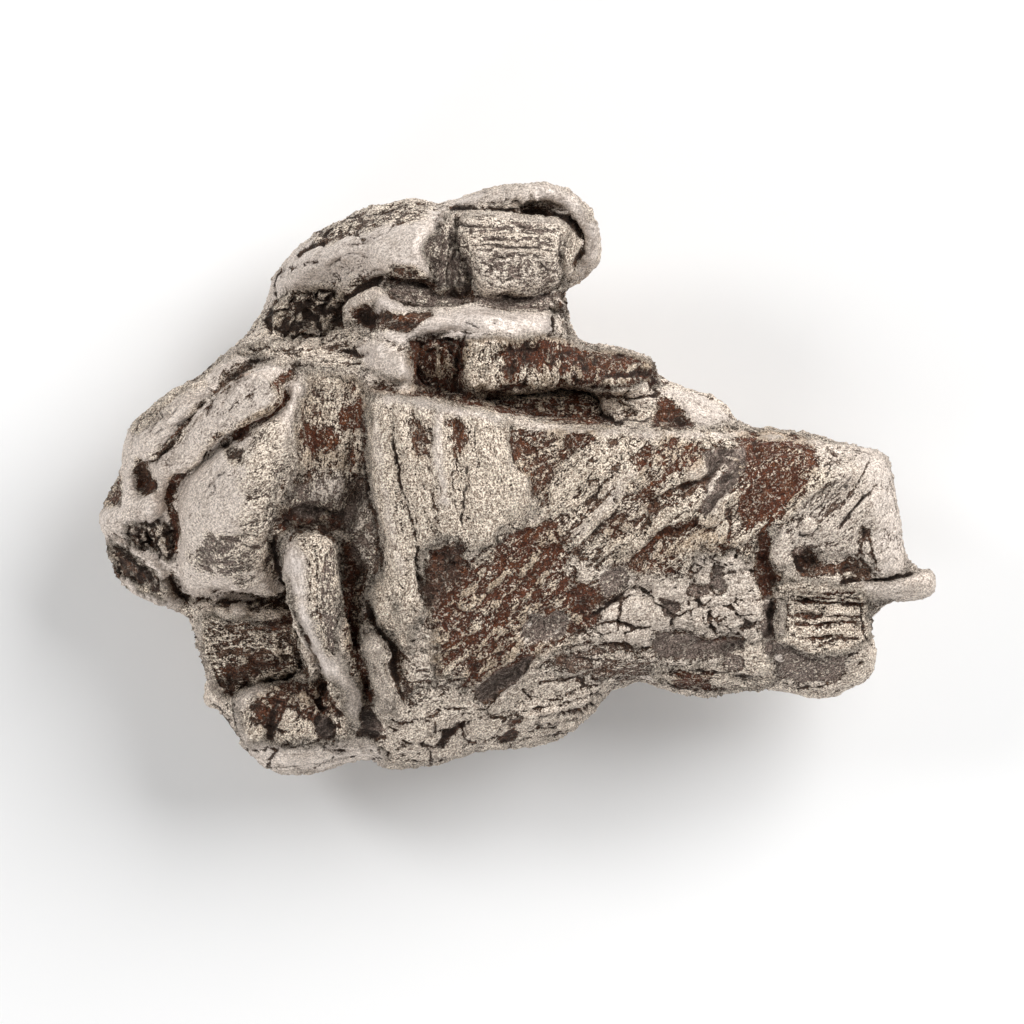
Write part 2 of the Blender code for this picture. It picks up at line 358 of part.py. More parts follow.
def work_lower_left(front):
    """The deep box-like hollow with its thin pale rim, and the lumps that close it below."""
    hollow = [(-19.0, -8.3), (-15.2, -8.6), (-13.6, -8.7), (-12.9, -11.0), (-13.4, -11.8), (-15.6, -12.3), (-16.9, -12.8),
              (-17.6, -13.0), (-18.2, -12.1), (-18.8, -10.5)]
    front.plate(hollow, (-16.0, -10.2), 8.6, slope=(-0.1, 0.85), edge=0.4)
    front.rib([(-19.5, -8.3), (-19.2, -9.8), (-18.7, -11.4), (-18.1, -12.7), (-17.4, -13.7)], 1.2, 1.4)
    front.rib([(-19.4, -8.1), (-17.5, -8.3), (-15.0, -8.4)], 0.7, 0.8)
    front.rib([(-14.6, -8.9), (-14.5, -10.0), (-14.2, -10.9)], 0.6, 1.0)
    lumps = [(-16.4, -13.1), (-15.0, -12.4), (-13.0, -12.1), (-11.5, -11.8), (-10.4, -13.2), (-10.2, -14.6), (-11.0, -15.6),
             (-14.6, -15.8), (-16.0, -15.6), (-16.6, -14.4)]
    front.plate(lumps, (-13.5, -14.0), 11.6, slope=(0.12, 0.0), edge=0.6)
    front.rib([(-14.8, -12.5), (-16.3, -12.9), (-16.9, -13.9), (-16.5, -15.1), (-15.6, -16.1)], 1.1, 1.2)
    front.knob((-15.6, -13.6), (0.6, 0.5), -1.2)
    front.knob((-15.4, -15.0), (0.7, 0.6), 0.7)
    front.rib([(-14.6, -13.6), (-14.8, -15.7)], 0.9, -1.4)
    front.knob((-11.6, -14.9), (0.6, 0.9), -1.3)
    front.rib([(-11.5, -12.1), (-11.9, -13.8)], 0.8, -1.4)
    front.rib([(-10.6, -13.6), (-10.8, -15.1)], 0.6, -1.2)
    front.knob((-13.2, -13.4), (1.0, 0.8), 0.6)
    front.rib([(-15.9, -16.3), (-13.5, -16.7), (-11.0, -16.6), (-9.0, -16.3)], 1.9, 0.8)
    front.rib([(-11.8, -16.2), (-9.9, -16.5)], 0.6, -1.0)
    front.knob((-18.7, -13.1), (0.9, 0.8), 0.9)
    front.rib([(-18.5, -13.5), (-17.7, -14.2), (-17.0, -15.1)], 0.5, -0.9)
    front.knob((-8.5, -15.1), (0.7, 0.4), -0.8)


def work_back(back):
    """Long folds and thumbprint hollows round the flat patch on which the stone rests."""
    for shift in range(4):
        y = 1.6 - 2.7 * shift
        back.rib([(-24.0, y - 3.0), (-20.0, y - 1.2), (-14.5, y + 0.6)], 2.0, -0.9)
    for shift in range(4):
        x = 8.0 + 3.4 * shift
        back.rib([(x + 2.6, 3.2), (x + 0.6, -3.0), (x - 1.2, -9.5)], 2.2, -0.9)
    back.rib([(-12.5, 13.8), (-6.0, 12.2), (1.5, 12.6), (4.4, 14.4)], 2.4, -1.3)
    back.rib([(-12.0, 10.4), (-6.0, 8.9), (1.0, 9.0)], 2.0, 0.9)
    back.rib([(-15.5, -13.0), (-9.0, -12.2), (-2.0, -12.8), (3.5, -13.4)], 2.4, -1.2)
    back.rib([(-16.0, -16.2), (-9.0, -15.2), (-2.0, -15.0)], 1.8, 0.7)
    back.knob((8.4, -6.4), (3.2, 2.2), -1.3, turn=25)
    back.knob((13.8, -0.2), (2.6, 2.0), -1.2, turn=-30)
    back.knob((-15.6, 4.2), (2.8, 1.9), -1.2, turn=40)
    back.knob((-14.6, -8.8), (2.4, 2.0), -1.4)
    back.knob((-4.4, 14.6), (2.2, 1.3), 0.8)
    back.knob((18.6, -8.6), (1.8, 2.6), 0.9, turn=15)
    back.rib([(21.0, -1.0), (21.8, -4.0), (23.5, -6.2)], 1.4, 0.7)


def only_selected(obj):
    bpy.ops.object.select_all(action="DESELECT")
    obj.select_set(True)
    bpy.context.view_layer.objects.active = obj


def apply_modifier(obj, kind, **settings):
    only_selected(obj)
    modifier = obj.modifiers.new(kind.title(), kind)
    for setting, value in settings.items():
        setattr(modifier, setting, value)
    bpy.ops.object.modifier_apply(modifier=modifier.name)


def mesh_of_curve(curve_object, collection):
    """A curve object made a mesh whose caps are welded to its sides."""
    collection.objects.link(curve_object)
    bpy.context.view_layer.update()
    evaluated = curve_object.evaluated_get(bpy.context.evaluated_depsgraph_get())
    mesh = bpy.data.meshes.new_from_object(evaluated)
    work = bmesh.new()
    work.from_mesh(mesh)
    bmesh.ops.remove_doubles(work, verts=work.verts, dist=1e-6)
    bmesh.ops.recalc_face_normals(work, faces=work.faces)
    work.to_mesh(mesh)
    work.free()
    solid = bpy.data.objects.new(curve_object.name + "_solid", mesh)
    solid.matrix_world = curve_object.matrix_world
    collection.objects.link(solid)
    bpy.data.objects.remove(curve_object)
    return solid


def blank_slab(outline, collection):
    """The outline as an even slab, ready to be worked on both sides."""
    curve = bpy.data.curves.new("blank", "CURVE")
    curve.dimensions = "2D"
    curve.fill_mode = "BOTH"
    curve.extrude = BLANK_THICKNESS / 2 * MM
    spline = curve.splines.new("POLY")
    spline.points.add(len(outline) - 1)
    for point, (x, y) in zip(spline.points, outline):
        point.co = (x * MM, y * MM, 0.0, 1.0)
    spline.use_cyclic_u = True
    slab = mesh_of_curve(bpy.data.objects.new("blank", curve), collection)
    apply_modifier(slab, "REMESH", mode="VOXEL", voxel_size=BLANK_VOXEL * MM)
    return slab


def shape_both_sides(slab, outline):
    """Moves the slab's two faces to the worked front and back, rolled together at the outline."""
    mesh = slab.data
    points = np.empty(len(mesh.vertices) * 3)
    mesh.vertices.foreach_get("co", points)
    points = points.reshape(-1, 3) / MM
    xy = points[:, :2]
    front = Relief(xy, FRONT_LEVELS, outwards=1.0)
    for work in (work_left_lobes, work_middle_hollow, work_fan, work_field, work_right_end, work_ledges, work_head,
                 work_lower_left):
        work(front)
    back = Relief(xy, BACK_LEVELS, outwards=-1.0)
    work_back(back)
    edge = thin_plate(EDGE_LEVELS, xy)
    depth = np.maximum(inside_by(xy, outline), 0.0)
    half = EDGE_THICKNESS / 2
    front_roll = np.sqrt(1.0 - (1.0 - np.minimum(depth / FRONT_ROLL, 1.0)) ** 2)
    back_roll = np.sqrt(1.0 - (1.0 - np.minimum(depth / BACK_ROLL, 1.0)) ** 2)
    top = edge + half + (front.z - edge - half) * front_roll
    bottom = edge - half + (back.z - edge + half) * back_roll
    share = np.clip(points[:, 2] / BLANK_THICKNESS + 0.5, 0.0, 1.0)
    points[:, 2] = bottom + share * np.maximum(top - bottom, EDGE_THICKNESS)
    mesh.vertices.foreach_set("co", (points * MM).ravel())
    mesh.update()


def strand(name, path, collection):
    """A round strand along a path of (x, y, z, radius), with rounded ends."""
    smooth = rounded(path)
    curve = bpy.data.curves.new(name, "CURVE")
    curve.dimensions = "3D"
    curve.bevel_depth = MM
    curve.bevel_resolution = 3
    curve.use_fill_caps = True
    spline = curve.splines.new("POLY")
    spline.points.add(len(smooth) - 1)
    for point, (x, y, z, radius) in zip(spline.points, smooth):
        point.co = (x * MM, y * MM, z * MM, 1.0)
        point.radius = radius
    pieces = [mesh_of_curve(bpy.data.objects.new(name, curve), collection)]
    for x, y, z, radius in (smooth[0], smooth[-1]):
        pieces.append(lump(name + "_end", (x, y, z), (radius, radius, radius), collection))
    return pieces


def lump(name, centre, radii, collection, turn=0.0):
    """A rounded lump, longest where its largest radius is, turned about the vertical."""
    mesh = bpy.data.meshes.new(name)
    work = bmesh.new()
    bmesh.ops.create_icosphere(work, subdivisions=3, radius=MM)
    work.to_mesh(mesh)
    work.free()
    solid = bpy.data.objects.new(name, mesh)
    solid.location = Vector(centre) * MM
    solid.scale = radii
    solid.rotation_euler = (0.0, 0.0, math.radians(turn))
    collection.objects.link(solid)
    return solid


def joined(body, pieces):
    """The pieces joined to the body and grown into one skin with it."""
    bpy.ops.object.select_all(action="DESELECT")
    for piece in [body] + pieces:
        piece.select_set(True)
    bpy.context.view_layer.objects.active = body
    bpy.ops.object.join()
    apply_modifier(body, "REMESH", mode="VOXEL", voxel_size=SHAPE_VOXEL * MM)


def roughen(body):
    """A slight unevenness over the whole stone, the same each time."""
    mesh = body.data
    normals = [vertex.normal.copy() for vertex in mesh.vertices]
    places = [vertex.co / (ROUGH_SCALE * MM) for vertex in mesh.vertices]
    for vertex, place, normal in zip(mesh.vertices, places, normals):
        swell = noise.noise(place) + 0.5 * noise.noise(place * 2.3)
        vertex.co += normal * swell * ROUGHNESS * MM
    mesh.update()


def cut_flat(body):
    """Cuts off what reaches below the ground plane, and leaves one flat face there."""
    work = bmesh.new()
    work.from_mesh(body.data)
    everything = work.verts[:] + work.edges[:] + work.faces[:]
    cut = bmesh.ops.bisect_plane(work, geom=everything, dist=1e-7, plane_co=(0, 0, 0), plane_no=(0, 0, -1),
                                 clear_outer=True)
    rim = [item for item in cut["geom_cut"] if isinstance(item, bmesh.types.BMEdge)]
    bmesh.ops.edgenet_fill(work, edges=rim)
    bmesh.ops.triangulate(work, faces=work.faces)
    bmesh.ops.recalc_face_normals(work, faces=work.faces)
    work.to_mesh(body.data)
    work.free()


def centre_on_box(body):
    """Puts the middle of the stone's box over the origin, with its underside at height 0."""
    mesh = body.data
    points = np.empty(len(mesh.vertices) * 3)
    mesh.vertices.foreach_get("co", points)
    points = points.reshape(-1, 3)
    low = points.min(axis=0)
    high = points.max(axis=0)
    points -= np.array([(low[0] + high[0]) / 2, (low[1] + high[1]) / 2, low[2]])
    mesh.vertices.foreach_set("co", points.ravel())
    mesh.update()


def iron():
    """Worn nickel-iron, silvery where it is rubbed and brown in its hollows."""
    material = bpy.data.materials.new("worn_iron")
    material.use_nodes = True
    shader = material.node_tree.nodes["Principled BSDF"]
    shader.inputs["Base Color"].default_value = (0.36, 0.31, 0.27, 1.0)
    shader.inputs["Roughness"].default_value = 0.52
    shader.inputs["Metallic"].default_value = 0.55
    return material


def build():
    for obj in list(bpy.data.objects):
        bpy.data.objects.remove(obj)
    stone = bpy.data.collections.new(NAME)
    cutters = bpy.data.collections.new("cutters")
    cutters.hide_render = True
    bpy.context.scene.collection.children.link(stone)
    bpy.context.scene.collection.children.link(cutters)

    outline = rounded(OUTLINE, closed=True, steps=3)
    body = blank_slab(outline, stone)
    body.name = NAME
    shape_both_sides(body, outline)

    tongue = [(-12.3, -4.6, 16.4, 1.55), (-12.3, -6.2, 16.1, 1.75), (-11.9, -8.0, 15.2, 1.6), (-11.2, -10.0, 14.0, 1.25),
              (-10.5, -12.0, 12.8, 1.0), (-9.8, -13.9, 11.8, 0.7)]
    rim = [(-1.4, 16.85, 14.2, 0.6), (0.6, 17.05, 14.5, 0.65), (2.4, 16.95, 14.6, 0.65), (3.8, 16.0, 14.3, 0.65),
           (4.35, 14.8, 13.8, 0.6), (4.2, 13.5, 13.3, 0.6)]
    knuckle = [(-24.1, -2.4, 9.6, 1.0), (-22.3, -1.7, 10.9, 1.0)]
    joined(body, strand("tongue", tongue, stone) + strand("rim", rim, stone) + strand("knuckle", knuckle, stone))

    undercuts = [
        lump("slot_under_ledge", (1.2, 5.5, 12.6), (4.6, 1.3, 1.3), cutters),
        lump("fold_under_rim", (1.6, 16.3, 13.4), (3.6, 0.75, 1.3), cutters, turn=-6),
        lump("fold_under_lobe", (-16.6, -7.1, 10.6), (3.4, 0.8, 1.0), cutters),
        lump("box_pocket", (-15.2, -12.2, 8.2), (2.3, 1.0, 1.2), cutters, turn=10),
        lump("pit_pocket", (-12.7, 10.0, 8.8), (1.7, 1.2, 1.3), cutters),
        lump("band_pocket", (-4.8, 6.8, 12.9), (1.2, 1.3, 1.4), cutters),
    ]
    only_selected(undercuts[0])
    for cutter in undercuts:
        cutter.select_set(True)
    bpy.ops.object.join()
    undercuts[0].display_type = "WIRE"
    undercuts[0].hide_render = True
    apply_modifier(body, "BOOLEAN", operation="DIFFERENCE", solver="EXACT", object=undercuts[0])

    apply_modifier(body, "REMESH", mode="VOXEL", voxel_size=SHAPE_VOXEL * MM)
    roughen(body)
    apply_modifier(body, "SMOOTH", factor=0.5, iterations=SMOOTHING_ROUNDS)
    apply_modifier(body, "TRIANGULATE")
    apply_modifier(body, "DECIMATE", ratio=TRIANGLES / len(body.data.polygons), use_collapse_triangulate=True)
    cut_flat(body)
    centre_on_box(body)
    body.data.materials.clear()
    body.data.materials.append(iron())
    body.data.shade_smooth()
    body.data.set_sharp_from_angle(angle=math.radians(50))


build()
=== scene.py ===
import itertools
import math

import bpy
import numpy as np
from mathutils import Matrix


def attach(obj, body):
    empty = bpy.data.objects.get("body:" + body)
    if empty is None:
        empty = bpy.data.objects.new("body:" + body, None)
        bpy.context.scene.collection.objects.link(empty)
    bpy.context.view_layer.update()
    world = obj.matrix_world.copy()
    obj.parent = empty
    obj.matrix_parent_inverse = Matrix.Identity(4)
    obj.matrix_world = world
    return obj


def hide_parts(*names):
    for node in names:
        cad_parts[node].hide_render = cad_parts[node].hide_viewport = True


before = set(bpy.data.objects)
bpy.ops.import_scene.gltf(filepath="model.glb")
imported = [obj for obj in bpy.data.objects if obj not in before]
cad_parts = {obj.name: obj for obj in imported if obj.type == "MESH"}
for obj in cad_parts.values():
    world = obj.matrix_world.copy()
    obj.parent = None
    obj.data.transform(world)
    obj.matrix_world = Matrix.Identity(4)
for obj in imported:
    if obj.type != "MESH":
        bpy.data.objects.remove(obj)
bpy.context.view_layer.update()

# The metal body
# The stone is one torn lump of nickel-iron, cleaned by hand. Its skin is the solid's own skin made fine,
# so that every fold, ledge and pit of the solid stays where it is, and is then worked in the regions below.
# Places are in millimetres, x to the right and y up as the stone is seen from above.
MM = 0.001
SKIN_VOXEL = 0.00015
SKIN_TRIANGLES = 192000
BACK_SHARE = 0.28

bpy.ops.object.select_all(action="DESELECT")
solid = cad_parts["meteorite"]
stone = bpy.data.objects.new("meteorite_skin", solid.data.copy())
bpy.context.scene.collection.objects.link(stone)
stone.select_set(True)
bpy.context.view_layer.objects.active = stone


def finish_with(kind, **settings):
    """Adds one modifier to the stone and applies it."""
    modifier = stone.modifiers.new(kind.title(), kind)
    for name, value in settings.items():
        setattr(modifier, name, value)
    bpy.ops.object.modifier_apply(modifier=modifier.name)


bpy.ops.object.mode_set(mode="EDIT")
bpy.ops.mesh.select_all(action="SELECT")
bpy.ops.mesh.remove_doubles(threshold=1e-7)
bpy.ops.object.mode_set(mode="OBJECT")
finish_with("REMESH", mode="VOXEL", voxel_size=SKIN_VOXEL)
finish_with("SMOOTH", factor=0.5, iterations=10)


def smooth_step(share):
    share = np.clip(share, 0.0, 1.0)
    return share * share * (3.0 - 2.0 * share)


def scatter(cell, seed):
    """A random number from -1 to 1 for each cell of a grid."""
    key = cell @ np.array([73856093, 19349663, 83492791])[:cell.shape[1]] + seed * 40503
    key = (key ^ (key >> 13)) * 1274126177 & 0x7FFFFFFF
    key = (key ^ (key >> 16)) * 97531 & 0x7FFFFFFF
    return key / 0x3FFFFFFF - 1.0


CRUMB_SHIFT = 0.42


def crumbled(places, seed):
    """How far each place is from its crumb's border, that crumb's own random number, and its tilt there."""
    cell = np.floor(places).astype(np.int64)
    width = places.shape[1]
    nearest = np.full(len(places), np.inf)
    second = nearest.copy()
    own = np.zeros(len(places))
    tilt = np.zeros(len(places))
    for step in itertools.product((-1, 0, 1), repeat=width):
        corner = cell + np.array(step)
        shift = np.stack([scatter(corner, seed + k) for k in range(width)], axis=1)
        offset = places - corner - 0.5 - CRUMB_SHIFT * shift
        gap = np.sqrt((offset * offset).sum(axis=1))
        closer = gap < nearest
        own = np.where(closer, scatter(corner, seed + 3), own)
        lean = sum(offset[:, k] * scatter(corner, seed + 4 + k) for k in range(width))
        tilt = np.where(closer, lean, tilt)
        second = np.minimum(second, np.maximum(gap, nearest))
        nearest = np.minimum(nearest, gap)
    return second - nearest, own, tilt


def swell(points, seed):
    """Smooth random swell from -1 to 1 at each point, one bump to each unit of length."""
    cell = np.floor(points).astype(np.int64)
    part = points - cell
    part = part * part * (3.0 - 2.0 * part)
    total = np.zeros(len(points))
    for corner in range(8):
        step = np.array([corner & 1, corner >> 1 & 1, corner >> 2 & 1])
        share = np.prod(np.where(step == 1, part, 1.0 - part), axis=1)
        total += share * scatter(cell + step, seed)
    return total


LIP_DROP = 0.14


class Skin:
    """The stone's skin as arrays: place and facing in millimetres, how far it is worked out, and its finish.

    bare is how much clean metal shows, rust and grey tint what lies between, dark is near-black dirt together
    with painted shade in cracks, clefts and hollows, worn is how smoothly the metal is rubbed, and turn is
    the way the grain runs, in degrees from x."""

    def __init__(self, mesh):
        count = len(mesh.vertices)
        self.at = np.empty(count * 3)
        mesh.vertices.foreach_get("co", self.at)
        self.at = self.at.reshape(-1, 3) / MM
        self.facing = np.empty(count * 3)
        mesh.vertices.foreach_get("normal", self.facing)
        self.facing = self.facing.reshape(-1, 3)
        ends = np.empty(len(mesh.edges) * 2, np.int32)
        mesh.edges.foreach_get("vertices", ends)
        self.ends = ends.reshape(-1, 2)
        self.out = np.zeros(count)
        self.lift = np.zeros(count)
        self.bare = np.full(count, 0.55)
        self.rust = np.full(count, 0.35)
        self.grey = np.zeros(count)
        self.dark = np.zeros(count)
        self.worn = np.full(count, 0.35)
        self.turn = np.full(count, 20.0)
        wide = self.at * 0.8
        close = self.at * 2.7
        drift = [0.16 * swell(wide, seed) + 0.07 * swell(close, seed + 1) for seed in (31, 33)]
        self.xy = self.at[:, :2] + np.stack(drift, axis=1)
        self.uneven = swell(self.at * 1.4, 35) + 0.5 * swell(self.at * 3.3, 36)
        self.front()

    def front(self):
        self.share = smooth_step((self.facing[:, 2] + 0.25) / 0.4)

    def back(self):
        self.share = smooth_step((-self.facing[:, 2] + 0.05) / 0.4)

    def near(self, path, reach):
        low = path.min(axis=0) - reach
        high = path.max(axis=0) + reach
        return np.flatnonzero(((self.xy > low) & (self.xy < high)).all(axis=1) & (self.share > 0.01))

    def lay(self, picked, share, rise, finish):
        """Works the picked places out by rise and brings their finish towards the named values."""
        share = share * self.share[picked]
        self.out[picked] += rise * share
        for name, value in finish.items():
            channel = getattr(self, name)
            channel[picked] += share * (value - channel[picked])

    def line(self, path, width, rise=0.0, fade=0.15, **finish):
        """A fold, crack or rib along a path, running out at its ends and uneven all along."""
        path = smooth_path(path)
        picked = self.near(path, width)
        gap, along, _ = off_path(self.xy[picked], path)
        half = 0.5 * width * (1.0 + 0.45 * self.uneven[picked])
        share = np.clip(1.0 - (gap / half) ** 2, 0.0, 1.0)
        share *= smooth_step(np.minimum(along, 1.0 - along) / fade + 0.3)
        share *= np.clip(0.85 + 0.4 * self.uneven[picked], 0.0, 1.0)
        self.lay(picked, share, rise, finish)

    def lip(self, path, width, rise, **finish):
        """The edge of a sheet over the next: it swells up from its left and drops off at the path."""
        path = smooth_path(path)
        picked = self.near(path, width)
        gap, along, side = off_path(self.xy[picked], path)
        swelling = np.clip(1.0 - gap / width, 0.0, 1.0) ** 1.5
        share = np.where(side > 0.0, swelling, np.clip(1.0 - gap / LIP_DROP, 0.0, 1.0))
        share *= smooth_step(np.minimum(along, 1.0 - along) / 0.15 + 0.2)
        self.lay(picked, share, rise, finish)

    def patch(self, outline, rise=0.0, edge=0.35, ragged=0.35, **finish):
        """A region inside an outline, whose border is ragged by about that many millimetres."""
        outline = smooth_path(outline, closed=True)
        picked = self.near(outline, edge + ragged)
        depth = inside_by(self.xy[picked], outline)
        depth += ragged * (swell(self.at[picked] * 1.1, 7) + 0.6 * swell(self.at[picked] * 2.9, 8))
        self.lay(picked, smooth_step(0.5 + depth / (2 * edge)), rise, finish)

    def fill(self, outline, corners, settle=0.0, **finish):
        """Raises a floor to the plane through three corners, and lowers what is above it by a share."""
        outline = smooth_path(outline, closed=True)
        picked = self.near(outline, 0.4)
        depth = inside_by(self.xy[picked], outline) + 0.15 * self.uneven[picked]
        a, b, c = np.linalg.solve([(x, y, 1.0) for x, y, _ in corners], [z for *_, z in corners])
        level = self.at[picked, 0] * a + self.at[picked, 1] * b + c + 0.25 * self.uneven[picked]
        share = smooth_step(0.5 + depth / 0.6)
        rise = level - self.at[picked, 2]
        self.lift[picked] += np.where(rise > 0.0, rise, settle * rise) * share
        self.lay(picked, share, 0.0, finish)

    def cracks(self, outline, size, depth, turn=0.0, long=1.0, width=0.2, **finish):
        """A net of fine cracks inside an outline. It parts angular crumbs of about the given size.

        The crumbs are drawn out along a turn, and each stands a little above or below the next."""
        outline = smooth_path(outline, closed=True)
        picked = self.near(outline, 0.5)
        inside = smooth_step(0.5 + inside_by(self.xy[picked], outline) / 0.8)
        c, s = math.cos(math.radians(turn)), math.sin(math.radians(turn))
        x, y = (self.xy[picked] + 0.12 * size * self.uneven[picked][:, None]).T
        places = np.stack([(x * c + y * s) / (size * long), (y * c - x * s) / size], axis=1)
        gap, own, _ = crumbled(places, 41)
        self.out[picked] += 0.3 * abs(depth) * own * inside * self.share[picked]
        self.bare[picked] += 0.12 * own * inside * self.share[picked]
        width = width * np.clip(0.7 + 0.9 * self.uneven[picked] + 0.3 * own, 0.05, 2.0)
        share = np.clip(1.0 - gap * size / width, 0.0, 1.0) * inside
        self.lay(picked, smooth_step(1.6 * share), depth, finish)

    def spot(self, centre, radii, rise=0.0, turn=0.0, **finish):
        """A round lump, crumb or pit."""
        centre = np.array(centre, float)
        picked = self.near(centre[None], max(radii))
        offset = self.xy[picked] - centre
        c, s = math.cos(math.radians(turn)), math.sin(math.radians(turn))
        u = (offset[:, 0] * c + offset[:, 1] * s) / radii[0]
        v = (offset[:, 1] * c - offset[:, 0] * s) / radii[1]
        self.lay(picked, np.clip(1.0 - u * u - v * v, 0.0, 1.0) ** 0.6, rise, finish)


def smooth_path(path, closed=False, steps=4):
    points = np.array(path, float)
    if len(points) == 2 and not closed:
        return points
    before = np.roll(points, 1, axis=0)
    end = np.roll(points, -1, axis=0)
    after = np.roll(points, -2, axis=0)
    if not closed:
        before[0] = points[0]
        after[-2] = points[-1]
    made = []
    for i in range(len(points) if closed else len(points) - 1):
        for k in range(steps):
            t = k / steps
            bend = (end[i] - before[i]) * t + (2 * before[i] - 5 * points[i] + 4 * end[i] - after[i]) * t * t
            cube = (3 * points[i] - before[i] - 3 * end[i] + after[i]) * t ** 3
            made.append(points[i] + 0.5 * (bend + cube))
    return np.array(made if closed else made + [points[-1]])


def off_path(xy, path):
    """Distance of each place from an open path, how far along it is nearest, and on which side it lies."""
    nearest = np.full(len(xy), np.inf)
    along = np.zeros(len(xy))
    side = np.zeros(len(xy))
    runs = len(path) - 1
    for i in range(runs):
        run = path[i + 1] - path[i]
        t = np.clip((xy - path[i]) @ run / (run @ run), 0.0, 1.0)
        offset = xy - path[i]
        gap = np.hypot(*(offset - t[:, None] * run).T)
        closer = gap < nearest
        nearest = np.where(closer, gap, nearest)
        along = np.where(closer, (i + t) / runs, along)
        side = np.where(closer, run[0] * offset[:, 1] - run[1] * offset[:, 0], side)
    return nearest, along, side


def inside_by(xy, outline):
    """How far each place is inside a closed outline, less than nothing outside it."""
    nearest = np.full(len(xy), np.inf)
    inside = np.zeros(len(xy), bool)
    for start, end in zip(outline, np.roll(outline, -1, axis=0)):
        run = end - start
        t = np.clip((xy - start) @ run / (run @ run), 0.0, 1.0)
        nearest = np.minimum(nearest, np.hypot(*(xy - start - t[:, None] * run).T))
        if start[1] != end[1]:
            crossed = (start[1] > xy[:, 1]) != (end[1] > xy[:, 1])
            inside ^= crossed & (xy[:, 0] < start[0] + (xy[:, 1] - start[1]) * run[0] / run[1])
    return np.where(inside, nearest, -nearest)
